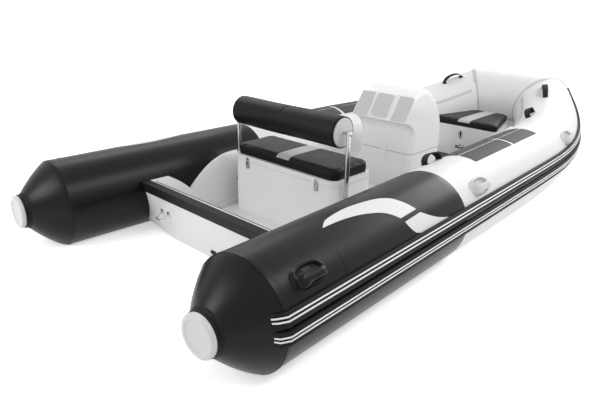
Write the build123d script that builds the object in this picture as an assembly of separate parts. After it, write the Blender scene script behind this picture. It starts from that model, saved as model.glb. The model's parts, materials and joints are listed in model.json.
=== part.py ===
from build123d import *
import math
import os

# An inflatable boat with a rigid V hull: two side tubes that taper in and bend up towards the bow,
# a raked transom, a helm console, a seat box with a bolster and a bow locker with a cushion.
# Stations are counted forward from the tail caps and heights up from the side tubes' axis.
# Everything is moved at export so that the origin is on the waterline at mid length.

# Side tubes, mm
TUBE_DIA = 480
TAIL_AXIS_Y = 785
BEND_X = 2490
BEND_Y = 667
COLOUR_X = 1550
TUBE_GAP = 0.3

# Tail cones with their collars and caps
SEAM_X = 210
CAP_DIA = 176
CAP_LENGTH = 24
COLLAR_DIA = 200
COLLAR_LENGTH = 26
CONE_BULGE = 22

# Bow quarters: they bend in and up to the joint with the front tube, angles in degrees
BOW_TUBE_DIA = 443
BOW_X = 3956
BOW_Y = 288
BOW_RISE = 187
BOW_TOE = 37
BOW_CLIMB = 21
BEND_REACH = 588
BEND_RINGS = 6
NOSE_X = 4000
NOSE_RISE = 182

# Waterline, hull and deck
WATER_Z = -216
CHINE_PROUD = 16
SHELF_DROP = 150
DECK_Z = -187
SOLE_THICK = 12
SOLE_X = 735
MAT_X = 2700
MAT_HALF = 250
MAT_THICK = 6

# Transom
TRANSOM_X = 621
TRANSOM_TOP = 88
TRANSOM_RAKE = 12
TRANSOM_THICK = 45
TRIM_THICK = 6
TRIM_DROP = 58
EYE_Y = 352
EYE_DROP = 142
EYE_PLATE = (70, 20, 4)
EYE_RADIUS = 26
EYE_WIRE = 4
DRAIN_Y = -40
DRAIN_DROP = 262
DRAIN_SIZE = (52, 24, 5)

# Side liners: stations and heights of the moulded edge that laps onto the tube
LINER_THICK = 20
KNEE_X = 565
KNEE_END = 805
KNEE_TOP = 88
KNEE_SLOPE = (876, 42)
DIP_X = 937
DIP_Z = -14
RISE_SLOPE = (1080, 92)
RISE_X = 1310
LINER_TOP = 143

# Strakes: angles up from the tube's outboard side
STRAKE_THICK = 15
STRIPE_THICK = 2
STRIPE_HALF_ANGLE = 0.6
STRAKE_START = 140
UPPER_STRAKE = (12.3, 25.6)
UPPER_LINES = (17.7, 21.2)
LOWER_STRAKE = (-4.6, 9.8)
LOWER_LINES = (1.3, 4.6)

# Non-slip pads: stations and angles of their edges
PAD_THICK = 3
PAD_STATIONS = ((1925, 2405), (2435, 2800))
PAD_ANGLES = ((70.5, 94.5), (97.5, 121))

# Seat
SEAT_X = 1192
SEAT_LENGTH = 318
SEAT_WIDTH = 791
SEAT_TOP = 149
SEAT_CORNER = 50
WALL = 8
PART_GAP = 0.3
LID_THICK = 29
CUSHION_THICK = 62
CUSHION_INSET = 3
CUSHION_ROUND = 18
SOFT_GAP = 0.3

# Backrest
BOLSTER_X = 1255
BOLSTER_Z = 433
BOLSTER_DIA = 168
BOLSTER_SHORT = 34
BOLSTER_ROUND = 6
DISC_DIA = 154
DISC_THICK = 6
POST_DIA = 25
POST_STANDOFF = 24.5
POST_OVER = 16
SPACER_DIA = 16
PIVOT_Z = -10
PIVOT_DIA = 10
PIVOT_PLAY = 0.05
BOSS_DIA = 44
HEAD_DIA = 22
HEAD_THICK = 5

# Console
CONSOLE_X = 2175
CONSOLE_LENGTH = 365
CONSOLE_WIDTH = 420
CONSOLE_CORNER = 45
CONSOLE_SEAM = 90
THROAT_Z = 210
THROAT_BEND = (2144, 280)
DASH_FOOT = (2083, 311)
DASH_TOP = (2185, 463)
DASH_BEND = (2250, 488)
COWL_TOP = (2325, 497)
COWL_BEND = (2452, 404)
BROW_Z = 190
COWL_ROUND = 42
CHIN_TIP = 3
CHIN_SHARES = (0, 0.25, 0.5, 0.75, 1)
PANEL_THICK = 3
PANEL_GAP = 0.1
PANEL_HEIGHT = 170
SIDE_PANEL_Y = 149
SIDE_PANEL_WIDTH = 106
SIDE_PANEL_CORNER = 5
POD_RISE = 14
POD_HEIGHT = 158
POD_WIDTH = 134
POD_CORNER = 24
POD_PANEL_HEIGHT = 150
POD_PANEL_WIDTH = 126
POD_LIFT = 5
CONSOLE_LATCH = (45, 78)
CONSOLE_KEEPER_HEIGHT = 36

# Bow locker
LOCKER_X = 3218
LOCKER_END = 3850
LOCKER_HALF = 520
LOCKER_TOP = 48
LOCKER_WALL = 30
BOW_LID_END = 3712
BOW_LID_AFT_HALF = 305
BOW_LID_FORE_HALF = 152
BOW_LID_THICK = 20
BOW_CUSHION_THICK = 50
BOW_CORNER = 40
RING_DROP = 130
RING_RADIUS = 20
RING_WIRE = 5
RING_PLATE = (4, 46, 46)

# Hinges and latches
KNUCKLE_DIA = 10
KNUCKLE_LENGTH = 24
KNUCKLE_GAP = 0.5
PIN_DIA = 4
PIN_PLAY = 0.2
LEAF = (46, 16, 1.6)
SEAT_HINGE_Y = 270
CONSOLE_HINGE_Y = 110
BOW_HINGE_Y = 80
LATCH_Y = 270
LATCH_WIDTH = 34
LATCH_HEIGHT = 42
KEEPER_HEIGHT = 22
LATCH_THICK = 9
BOW_LATCH = (46, 78)

# Handles: length, rise, bar thickness and bar width, then station and angle on the tube
GRIP_SIZE = (190, 38, 12, 30)
GRIPS = ((385, 43), (1757, 40), (3130, 38))
STRAP_SIZE = (170, 60, 5, 35)
STRAPS = ((1762, 113), (3350, 117), (3790, 100))
BASE_THICK = 8

# How far cutting tools run past what they cut, and how upright an edge is to count as a corner
OVER = 50
UPRIGHT = 0.999


R = TUBE_DIA / 2
BOW_R = BOW_TUBE_DIA / 2
LINER_FOOT = R + LINER_THICK
POST_Y = SEAT_WIDTH / 2 + POST_STANDOFF
BOLSTER_LENGTH = SEAT_WIDTH - BOLSTER_SHORT
SOLE_Z = DECK_Z + SOLE_THICK
UP = Vector(0, 0, 1)


def heading(toe, climb=0):
    """A direction that points forward, turned inboard and up by angles in degrees."""
    toe, climb = math.radians(toe), math.radians(climb)
    return Vector(math.cos(toe) * math.cos(climb), -math.sin(toe) * math.cos(climb), math.sin(climb))


SIDE_TOE = math.degrees(math.atan((TAIL_AXIS_Y - BEND_Y) / BEND_X))
SIDE_WAY = heading(SIDE_TOE)
BOW_WAY = heading(BOW_TOE, BOW_CLIMB)
BOW_POINT = Vector(BOW_X, BOW_Y, BOW_RISE)
NOSE_POINT = Vector(NOSE_X, 0, NOSE_RISE)
FRONT_WAY = (NOSE_POINT - BOW_POINT).normalized()
BEND = [
    Vector(BEND_X, BEND_Y, 0),
    Vector(BEND_X, BEND_Y, 0) + SIDE_WAY * BEND_REACH,
    BOW_POINT - BOW_WAY * BEND_REACH,
    BOW_POINT,
]


def along_bend(share):
    """Centre, direction and radius of the port quarter at a share of its length."""
    rest = 1 - share
    a, b, c, d = BEND
    centre = a * rest**3 + b * (3 * rest**2 * share) + c * (3 * rest * share**2) + d * share**3
    way = (b - a) * rest**2 + (c - b) * (2 * rest * share) + (d - c) * share**2
    return centre, way.normalized(), R + (BOW_R - R) * share


def at_station(x):
    """Centre, direction and radius of the port tube at a station."""
    if x <= BEND_X:
        return Vector(x, TAIL_AXIS_Y, 0) - Vector(0, math.tan(math.radians(SIDE_TOE)) * x, 0), SIDE_WAY, R
    low, high = 0, 1
    for _ in range(30):
        middle = (low + high) / 2
        low, high = (middle, high) if along_bend(middle)[0].X < x else (low, middle)
    return along_bend(low)


class Ring:
    """A cross-section of the port tube: its centre, the way the tube runs there and its radius."""

    def __init__(self, centre, way, radius):
        self.centre, self.way, self.radius = centre, way, radius
        self.side = UP.cross(way).normalized()
        self.up = way.cross(self.side)
        self.plane = Plane(origin=centre, x_dir=self.side, z_dir=way)

    def disc(self, grow=0):
        return self.plane * Circle(self.radius + grow)

    def out(self, angle):
        a = math.radians(angle)
        return self.side * math.cos(a) + self.up * math.sin(a)

    def corners(self, low, high, inner, outer):
        """Six points of a slice between two angles and two heights over the tube."""
        angles = (low, (low + high) / 2, high)
        return [
            [self.centre + self.out(a) * (self.radius + height) for a in angles]
            for height in (inner, outer)
        ]


def slide(corners, way, origin, normal):
    """Move points along a direction until they lie on a plane."""
    return [
        [p + way * ((origin - p).dot(normal) / way.dot(normal)) for p in row] for row in corners
    ]


def slice_face(corners):
    near, far = [ThreePointArc(*row) for row in corners]
    return make_face([near, far, Line(near @ 0, far @ 0), Line(near @ 1, far @ 1)])


def side_ring(x, radius=R):
    return Ring(at_station(x)[0], SIDE_WAY, radius)


BEND_STATIONS = [Ring(*along_bend(i / BEND_RINGS)) for i in range(BEND_RINGS + 1)]
MITRE_NORMAL = (BOW_WAY + FRONT_WAY).normalized()
MITRE = Plane(origin=BOW_POINT, z_dir=MITRE_NORMAL)


def tail_radius(x):
    """Straight-sided radius of the tail cone at a station, without its bulge."""
    start = CAP_LENGTH + COLLAR_LENGTH
    share = (x - start) / (SEAM_X - start)
    return COLLAR_DIA / 2 + (R - COLLAR_DIA / 2) * share


def across(shape):
    """The mirror image on the other side of the boat."""
    return mirror(shape, about=Plane.XZ)


def both(shape):
    return {"port": shape, "starboard": across(shape)}


def straight(first, last, grow=0):
    return loft([first.disc(grow), last.disc(grow)], ruled=True)


def quarter_tube(grow=0):
    bend = loft([ring.disc(grow) for ring in BEND_STATIONS])
    past = extrude(BEND_STATIONS[-1].disc(grow), amount=BOW_R)
    return split(bend + past, bisect_by=MITRE, keep=Keep.BOTTOM)


def front_tube(grow=0):
    start = Ring(BOW_POINT - FRONT_WAY * BOW_R, FRONT_WAY, BOW_R)
    half = extrude(start.disc(grow), amount=BOW_R + BOW_Y + OVER)
    half = split(half, bisect_by=MITRE, keep=Keep.TOP)
    half = split(half, bisect_by=Plane.XZ, keep=Keep.BOTTOM)
    return half + across(half)


def tube_cutters():
    """The tubes a hair larger, to fit what sits against them."""
    port = [straight(side_ring(SEAM_X), side_ring(BEND_X), TUBE_GAP), quarter_tube(TUBE_GAP)]
    return [*port, *[across(tube) for tube in port], front_tube(TUBE_GAP)]


def prism(points, plane, depth):
    return extrude(plane * make_face(Polyline(*points, close=True)), amount=depth)


def mirrored(corners):
    """Close an outline given by its port half."""
    return [*corners, *[(a, -b) for a, b in reversed(corners)]]


def flat(points, low, high):
    """A plate drawn in plan between two heights."""
    return prism(points, Plane.XY.offset(low), high - low)


def rounded(length, width, corner, low, high, x):
    """A block with rounded upright corners whose aft face is at x."""
    outline = Plane.XY.offset(low) * Pos(x + length / 2, 0) * RectangleRounded(length, width, corner)
    return extrude(outline, amount=high - low)


def along_y(x, z, dia, first, last):
    """A round bar across the boat."""
    return extrude(Plane((x, first, z), z_dir=(0, 1, 0)) * Circle(dia / 2), amount=last - first)


def tail_pieces():
    """Cone, collar and cap, turned about the tube's axis."""
    start = CAP_LENGTH + COLLAR_LENGTH
    middle = (start + SEAM_X) / 2
    neck = COLLAR_DIA / 2
    profile = make_face(
        [
            Line((0, start), (neck, start)),
            ThreePointArc((neck, start), (tail_radius(middle) + CONE_BULGE, middle), (R, SEAM_X)),
            Line((R, SEAM_X), (0, SEAM_X)),
            Line((0, SEAM_X), (0, start)),
        ]
    )
    cone = revolve(Plane.XZ * profile, Axis.Z)
    collar = extrude(Plane.XY.offset(CAP_LENGTH) * Circle(neck - WALL), amount=COLLAR_LENGTH)
    cap = fillet(
        extrude(Circle(CAP_DIA / 2), amount=CAP_LENGTH).edges().group_by(Axis.Z)[0], WALL
    )
    where = side_ring(0).plane
    return where * cone, where * collar, where * cap


def strake(low, high, inner, outer, first):
    """A strip round the whole boat, from a first ring on the port tail to the starboard one."""
    span = (low, high, inner, outer)
    aft = loft([slice_face(ring.corners(*span)) for ring in first], ruled=True)
    bend = loft([slice_face(ring.corners(*span)) for ring in BEND_STATIONS])
    last = BEND_STATIONS[-1].corners(*span)
    mitre = slide(last, BOW_WAY, BOW_POINT, MITRE_NORMAL)
    nose = slide(mitre, FRONT_WAY, NOSE_POINT, Vector(0, 1, 0))
    pieces = [aft, bend]
    for start, end in ((last, mitre), (mitre, nose)):
        pieces.append(loft([slice_face(start), slice_face(end)], ruled=True))
    half = Part() + pieces
    return half + across(half)


def strakes(cone):
    tail = side_ring(STRAKE_START, tail_radius(STRAKE_START) + CONE_BULGE / 2)
    run = [side_ring(SEAM_X), BEND_STATIONS[0]]
    outer = STRAKE_THICK + TUBE_GAP
    nodes = {}
    for name, span, lines in (
        ("strake_upper", UPPER_STRAKE, UPPER_LINES),
        ("strake_lower", LOWER_STRAKE, LOWER_LINES),
    ):
        nodes[name] = strake(*span, TUBE_GAP, outer, [tail, *run]) - cone - across(cone)
        over = (outer, outer + STRIPE_THICK, [tail, *run])
        nodes[f"{name}_lines"] = gather(
            [strake(a - STRIPE_HALF_ANGLE, a + STRIPE_HALF_ANGLE, *over) for a in lines]
        )
    return nodes


def pads():
    """Non-slip pads on the inner half of a side tube."""
    pieces = []
    for first, last in PAD_STATIONS:
        stations = [first, last] if last <= BEND_X else [first, BEND_X, (BEND_X + last) / 2, last]
        rings = [Ring(*at_station(x)) for x in stations]
        for low, high in PAD_ANGLES:
            strips = [
                loft([slice_face(r.corners(low, high, TUBE_GAP, PAD_THICK)) for r in pair], ruled=True)
                for pair in zip(rings, rings[1:])
            ]
            pieces.append(Part() + strips)
    return gather(pieces)


# Hull sections: station, keel z, deck z, then how far inboard of the tube's axis the chine and
# the inner edge of the shelf under the side liner lie
HULL = (
    (550, -290, DECK_Z, 186, 335),
    (790, -292, DECK_Z, 186, 335),
    (1600, -330, DECK_Z, 75, LINER_FOOT),
    (2500, -352, DECK_Z, 60, LINER_FOOT),
    (3000, -348, DECK_Z, 60, LINER_FOOT),
    (3400, -310, DECK_Z, 60, LINER_FOOT),
    (3680, -225, -147, 60, LINER_FOOT),
    (3860, -130, -70, 50, LINER_FOOT),
    (3960, -62, -30, 40, LINER_FOOT),
)


def hull_half(x, keel, deck, inset, foot):
    """The port half of the hull's section, from the keel out to the tube and in to the deck."""
    centre, _, radius = at_station(x)
    y, z = centre.Y, centre.Z
    chine = (y - inset, z - math.sqrt(radius**2 - inset**2) - CHINE_PROUD)
    shelf = z - SHELF_DROP
    return [(0, keel), chine, (y, shelf), (y - foot, shelf), (y - foot, deck)]


def hull_body():
    faces = []
    for section in HULL:
        keel, *side = hull_half(*section)
        points = [keel, *side, *[(-a, b) for a, b in reversed(side)]]
        plane = Plane((section[0], 0, 0), x_dir=(0, 1, 0), z_dir=(1, 0, 0))
        faces.append(plane * make_face(Polyline(*points, close=True)))
    return loft(faces, ruled=True)


def shelf_edge(x):
    """Where the hull's shelf ends and the sole begins at a station, from the centreline."""
    edges = [(section[0], hull_half(*section)[-1][0]) for section in HULL]
    for (x0, y0), (x1, y1) in zip(edges, edges[1:]):
        if x <= x1:
            return y0 + (y1 - y0) * (x - x0) / (x1 - x0)


def raked(offset):
    """The transom's plane, facing forward, a distance ahead of its aft face."""
    lean = math.radians(TRANSOM_RAKE)
    forward = (math.cos(lean), 0, math.sin(lean))
    top = (TRANSOM_X, 0, TRANSOM_TOP)
    return Plane(origin=top, x_dir=(0, 1, 0), z_dir=forward).offset(offset)


def on_transom(y, drop):
    """A plane on the transom's aft face, facing aft, with its second axis up the face."""
    face = raked(0)
    here = face.origin + Vector(0, y, 0) - face.y_dir * drop
    return Plane(origin=here, x_dir=(0, -1, 0), z_dir=-face.z_dir)


def slab(points, low, high):
    """A plate across the boat between two raked planes."""
    block = prism(points, Plane((0, 0, 0), x_dir=(0, 1, 0), z_dir=(1, 0, 0)), SEAT_X)
    block = split(block, bisect_by=raked(low), keep=Keep.TOP)
    return split(block, bisect_by=raked(high), keep=Keep.BOTTOM)


def transom(cutters):
    """The transom and its black rubber edge, between the side tubes."""
    keel, chine = hull_half(*HULL[1])[:2]
    y = at_station(TRANSOM_X)[0].Y
    side = [chine, (y, -SHELF_DROP), (y, TRANSOM_TOP)]
    plate = slab([keel, *side, *[(-a, b) for a, b in reversed(side)]], 0, TRANSOM_THICK)
    high = TRANSOM_TOP + TRIM_THICK
    low = high - TRIM_DROP
    trim = slab([(-y, low), (y, low), (y, high), (-y, high)], -TRIM_THICK, TRANSOM_THICK) - plate
    for cutter in cutters[0], cutters[2]:
        plate = plate - cutter
        trim = trim - cutter
    return biggest(plate), biggest(trim)


def stern_eyes():
    """Towing eyes on the transom: a plate with half a ring."""
    eyes = []
    ring = split(Rot(90, 0, 0) * Torus(EYE_RADIUS, EYE_WIRE), bisect_by=Plane.XY, keep=Keep.TOP)
    lift = Pos(0, 0, EYE_PLATE[2] / 2)
    for y in (EYE_Y, -EYE_Y):
        eyes.append(on_transom(y, EYE_DROP) * lift * (Box(*EYE_PLATE) + ring))
    return eyes


def drain():
    length, height, thick = DRAIN_SIZE
    return on_transom(DRAIN_Y, DRAIN_DROP) * extrude(SlotOverall(length, height), amount=thick)


def side_liner(cutters, hull):
    """The moulded inner side: it stands on the hull's shelf and laps onto the tube."""
    plane = Plane(origin=(0, TAIL_AXIS_Y, 0), x_dir=SIDE_WAY, z_dir=-side_ring(0).side)
    foot, fore = (KNEE_X, -SHELF_DROP), (LOCKER_X, -SHELF_DROP)
    edge = [
        Line(foot, (KNEE_X, KNEE_TOP)),
        Line((KNEE_X, KNEE_TOP), (KNEE_END, KNEE_TOP)),
        ThreePointArc((KNEE_END, KNEE_TOP), KNEE_SLOPE, (DIP_X, DIP_Z)),
        ThreePointArc((DIP_X, DIP_Z), RISE_SLOPE, (RISE_X, LINER_TOP)),
        Line((RISE_X, LINER_TOP), (LOCKER_X, LINER_TOP)),
        Line((LOCKER_X, LINER_TOP), fore),
        Line(fore, foot),
    ]
    blank = extrude(plane * make_face(edge), amount=LINER_FOOT)
    skin = straight(side_ring(KNEE_X - OVER), side_ring(BEND_X), LINER_THICK)
    skin += loft([ring.disc(LINER_THICK) for ring in BEND_STATIONS])
    floor = [foot, (KNEE_X, 0), (LOCKER_X, 0), fore]
    side = blank & (skin + prism(floor, plane, LINER_FOOT))
    for cutter in (*cutters[:2], hull):
        side = side - cutter
    side = split(side, bisect_by=raked(TRANSOM_THICK + TUBE_GAP), keep=Keep.TOP)
    return biggest(side)


def sole():
    """The deck between the hull's shelves."""
    end = LOCKER_X - TUBE_GAP
    stations = [SOLE_X, *[section[0] for section in HULL if SOLE_X < section[0] < end], end]
    return flat(mirrored([(x, shelf_edge(x) - TUBE_GAP) for x in stations]), DECK_Z, SOLE_Z)


def mat():
    """The dark mat between the console and the bow locker."""
    corners = [(MAT_X, MAT_HALF), (LOCKER_X - TUBE_GAP, MAT_HALF)]
    return flat(mirrored(corners), SOLE_Z, SOLE_Z + MAT_THICK)


def seat():
    lid_low = SEAT_TOP + PART_GAP
    lid_high = lid_low + LID_THICK
    box = rounded(SEAT_LENGTH, SEAT_WIDTH, SEAT_CORNER, SOLE_Z, SEAT_TOP, SEAT_X)
    box -= rounded(
        SEAT_LENGTH - 2 * WALL,
        SEAT_WIDTH - 2 * WALL,
        SEAT_CORNER - WALL,
        SOLE_Z + WALL,
        SEAT_TOP + OVER,
        SEAT_X + WALL,
    )
    lid = rounded(SEAT_LENGTH, SEAT_WIDTH, SEAT_CORNER, lid_low, lid_high, SEAT_X)
    base = lid_high + SOFT_GAP
    cushion = rounded(
        SEAT_LENGTH - 2 * CUSHION_INSET,
        SEAT_WIDTH - 2 * CUSHION_INSET,
        SEAT_CORNER,
        base,
        base + CUSHION_THICK,
        SEAT_X + CUSHION_INSET,
    )
    cushion = fillet(cushion.edges().group_by(Axis.Z)[-1], CUSHION_ROUND)
    return box, lid, cushion


def latches(x, low, high, width, sides, thick=LATCH_THICK):
    """Toggle bodies or keepers on an aft face."""
    middle = (low + high) / 2
    return gather([Pos(x - thick / 2, y, middle) * Box(thick, width, high - low) for y in sides])


def hinge_pair(x, z, spread, lower_lies_flat=False):
    """Two hinges across the boat: the fixed leaves with their pins, and the moving leaves."""
    length, depth, thick = LEAF
    reach = KNUCKLE_DIA / 2
    fixed, moving = [], []
    for y in (spread, -spread):
        half = KNUCKLE_LENGTH / 2
        fixed.append(along_y(x, z, KNUCKLE_DIA, y - half, y + half))
        pin = half + KNUCKLE_GAP + KNUCKLE_LENGTH
        fixed[-1] += along_y(x, z, PIN_DIA, y - pin, y + pin)
        if lower_lies_flat:
            leaf = Pos(x + depth / 2, y, z - reach + thick / 2) * Box(depth, 2 * half, thick)
        else:
            leaf = Pos(x - reach + thick / 2, y, z - depth / 2) * Box(thick, 2 * half, depth)
        fixed[-1] += leaf
        for side in (1, -1):
            near, far = y + side * (half + KNUCKLE_GAP), y + side * pin
            knuckle = along_y(x, z, KNUCKLE_DIA, near, far)
            knuckle += Pos(x - reach + thick / 2, (near + far) / 2, z + depth / 2) * Box(
                thick, KNUCKLE_LENGTH, depth
            )
            moving.append(knuckle - along_y(x, z, PIN_DIA + 2 * PIN_PLAY, near, far))
    return gather(fixed), gather(moving)


def backrest():
    half = BOLSTER_LENGTH / 2
    bolster = along_y(BOLSTER_X, BOLSTER_Z, BOLSTER_DIA, -half, half)
    bolster = fillet(bolster.edges(), BOLSTER_ROUND)
    discs, posts, pivots = [], [], []
    side_y = SEAT_WIDTH / 2
    for sign in (1, -1):
        disc_out = half + SOFT_GAP + DISC_THICK
        discs.append(along_y(BOLSTER_X, BOLSTER_Z, DISC_DIA, sign * (half + SOFT_GAP), sign * disc_out))
        low = PIVOT_Z - POST_DIA
        post = Pos(BOLSTER_X, sign * POST_Y, (low + BOLSTER_Z + POST_OVER) / 2) * Cylinder(
            POST_DIA / 2, BOLSTER_Z + POST_OVER - low
        )
        post += along_y(BOLSTER_X, BOLSTER_Z, SPACER_DIA, sign * disc_out, sign * POST_Y)
        hole = PIVOT_DIA + 2 * PIVOT_PLAY
        post -= along_y(BOLSTER_X, PIVOT_Z, hole, sign * side_y, sign * (POST_Y + POST_DIA))
        posts.append(post)
        inner = POST_Y - POST_DIA / 2 - SOFT_GAP
        outer = POST_Y + POST_DIA / 2 + SOFT_GAP
        pivot = along_y(BOLSTER_X, PIVOT_Z, BOSS_DIA, sign * side_y, sign * inner)
        pivot += along_y(BOLSTER_X, PIVOT_Z, PIVOT_DIA, sign * side_y, sign * (outer + HEAD_THICK))
        pivot += along_y(BOLSTER_X, PIVOT_Z, HEAD_DIA, sign * outer, sign * (outer + HEAD_THICK))
        pivots.append(pivot)
    return bolster, discs, posts, pivots


def console():
    base = rounded(CONSOLE_LENGTH, CONSOLE_WIDTH, CONSOLE_CORNER, SOLE_Z, CONSOLE_SEAM, CONSOLE_X)
    mouth_size = (CONSOLE_LENGTH - 2 * WALL, CONSOLE_WIDTH - 2 * WALL, CONSOLE_CORNER - WALL)
    base -= rounded(*mouth_size, SOLE_Z + WALL, CONSOLE_SEAM + OVER, CONSOLE_X + WALL)
    low = CONSOLE_SEAM + PART_GAP
    front = CONSOLE_X + CONSOLE_LENGTH
    throat = (CONSOLE_X, THROAT_Z)
    brow = (front, BROW_Z)
    profile = make_face(
        [
            Line((CONSOLE_X, low), throat),
            ThreePointArc(throat, THROAT_BEND, DASH_FOOT),
            Line(DASH_FOOT, DASH_TOP),
            ThreePointArc(DASH_TOP, DASH_BEND, COWL_TOP),
            ThreePointArc(COWL_TOP, COWL_BEND, brow),
            Line(brow, (front, low)),
            Line((front, low), (CONSOLE_X, low)),
        ]
    )
    side = Plane((0, 0, 0), x_dir=(1, 0, 0), z_dir=(0, -1, 0))
    half = CONSOLE_WIDTH / 2
    outer = soften(extrude(side * profile, amount=half, both=True), (True,))
    outer = chin(outer, ThreePointArc(throat, THROAT_BEND, DASH_FOOT), low)
    hollow = soften(extrude(side * offset(profile, amount=-WALL), amount=half - WALL, both=True), (True, False))
    mouth = rounded(*mouth_size, low - OVER, low + 2 * WALL, CONSOLE_X + WALL)
    _, pod = dash_faces()
    return base, outer + pod - hollow - mouth


def chin(cowl, throat, low):
    """Lay the cowl's aft corners again: round at the foot, and sharper towards the dash."""
    end = CONSOLE_X + 3 * COWL_ROUND
    sections = []
    for share in CHIN_SHARES:
        spot = throat @ share
        corner = CHIN_TIP + (COWL_ROUND - CHIN_TIP) * (1 - share)
        outline = RectangleRounded(end - spot.X, CONSOLE_WIDTH, corner)
        sections.append(Plane.XY.offset(spot.Y) * Pos((end + spot.X) / 2, 0) * outline)
    under = [(DASH_FOOT[0] - OVER, CONSOLE_WIDTH), (end - COWL_ROUND, CONSOLE_WIDTH)]
    cowl = cowl - flat(mirrored(under), low - OVER, DASH_FOOT[1])
    foot = rounded(end - CONSOLE_X, CONSOLE_WIDTH, COWL_ROUND, low, THROAT_Z, CONSOLE_X)
    return cowl + foot + loft(sections)


def soften(cowl, ends_fore):
    """Round the cowl's shoulders and fore corners, or its aft corners, and leave the dash sharp."""
    for fore in ends_fore:
        ends = cowl.faces().filter_by(Axis.Y)
        foot = cowl.bounding_box().min.Z + PART_GAP
        rims = []
        for edge in ends[0].edges() + ends[-1].edges():
            centre = edge.center()
            bends = edge.geom_type == GeomType.CIRCLE or abs(edge.tangent_at(0).Z) > UPRIGHT
            if bends and centre.Z > foot and (centre.X > DASH_TOP[0]) == fore:
                rims.append(edge)
        cowl = fillet(rims, COWL_ROUND)
    return cowl


def dash_faces():
    """The dash's plane, and the raised pod for the middle panel."""
    run, climb = DASH_TOP[0] - DASH_FOOT[0], DASH_TOP[1] - DASH_FOOT[1]
    rise = math.atan2(climb, run)
    centre = ((DASH_FOOT[0] + DASH_TOP[0]) / 2, 0, (DASH_FOOT[1] + DASH_TOP[1]) / 2)
    plane = Plane(origin=centre, x_dir=(0, -1, 0), z_dir=(-math.sin(rise), 0, math.cos(rise)))
    pod = Pos(0, POD_LIFT, -WALL / 2) * RectangleRounded(POD_WIDTH, POD_HEIGHT, POD_CORNER)
    return plane, extrude(plane * pod, amount=POD_RISE + WALL / 2)


def dash_panels():
    """Three instrument panels on the sloping dash, the middle one on its pod."""
    plane, _ = dash_faces()
    side = RectangleRounded(SIDE_PANEL_WIDTH, PANEL_HEIGHT, SIDE_PANEL_CORNER)
    middle = RectangleRounded(POD_PANEL_WIDTH, POD_PANEL_HEIGHT, POD_CORNER - WALL / 2)
    panels = [plane * Pos(y, 0, PANEL_GAP) * side for y in (SIDE_PANEL_Y, -SIDE_PANEL_Y)]
    panels.append(plane * Pos(0, POD_LIFT, POD_RISE + PANEL_GAP) * middle)
    return [extrude(panel, amount=PANEL_THICK) for panel in panels]


def bow_plan(inset, low, high):
    """The bow lid's outline in plan, drawn smaller by inset."""
    corners = [
        (LOCKER_X + inset, BOW_LID_AFT_HALF - inset),
        (BOW_LID_END - inset, BOW_LID_FORE_HALF - inset),
    ]
    block = flat(mirrored(corners), low, high)
    return fillet(block.edges().filter_by(Axis.Z), BOW_CORNER)


def bow_locker(cutters, hull):
    body = flat(mirrored([(LOCKER_X, LOCKER_HALF), (LOCKER_END, LOCKER_HALF)]), DECK_Z, LOCKER_TOP)
    for cutter in (*cutters, hull):
        body = body - cutter
    cavity = bow_plan(LOCKER_WALL, DECK_Z + SOLE_THICK, LOCKER_TOP + OVER)
    return biggest(body) - cavity


def bow_tops():
    lid_low = LOCKER_TOP + PART_GAP
    lid = bow_plan(0, lid_low, lid_low + BOW_LID_THICK)
    base = lid_low + BOW_LID_THICK + SOFT_GAP
    cushion = bow_plan(CUSHION_INSET, base, base + BOW_CUSHION_THICK)
    cushion = fillet(cushion.edges().group_by(Axis.Z)[-1], CUSHION_ROUND)
    return lid, cushion


def bow_ring():
    """The small eye under the bow latch."""
    thick, width, height = RING_PLATE
    here = Pos(LOCKER_X - thick / 2, 0, LOCKER_TOP - RING_DROP)
    ring = split(Rot(90, 0, 0) * Torus(RING_RADIUS, RING_WIRE), bisect_by=Plane.YZ, keep=Keep.BOTTOM)
    return here * (Box(thick, width, height) + ring)


def place_on(x, angle):
    """A plane on the port tube: along it, round it and out from it."""
    ring = Ring(*at_station(x))
    out = ring.out(angle)
    return Plane(origin=ring.centre + out * ring.radius, x_dir=ring.way, z_dir=out)


def arch(size):
    """A handle's bow over its patch, in its own plane."""
    length, rise, thick, width = size
    outer = ThreePointArc((-length / 2, 0), (0, rise), (length / 2, 0))
    inner = ThreePointArc(
        (-length / 2 + 2 * thick, 0), (0, rise - thick), (length / 2 - 2 * thick, 0)
    )
    face = make_face([outer, inner, Line(outer @ 0, inner @ 0), Line(outer @ 1, inner @ 1)])
    upright = Plane((0, 0, 0), x_dir=(1, 0, 0), z_dir=(0, -1, 0))
    return extrude(upright * face, amount=width / 2, both=True)


def handle(spot, size, cutters):
    length, _, _, width = size
    patch = extrude(SlotOverall(length + 2 * BASE_THICK, 2 * width), amount=BASE_THICK)
    patch = Pos(0, 0, -BASE_THICK / 2) * patch
    shape = place_on(*spot) * (patch + arch(size))
    for cutter in cutters:
        shape = shape - cutter
    return biggest(shape)


def biggest(shape):
    return shape.solids().sort_by(SortBy.VOLUME)[-1]


def gather(shapes):
    solids = [s for shape in shapes for s in shape.solids()]
    return Compound(children=solids) if len(solids) > 1 else solids[0]


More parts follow.
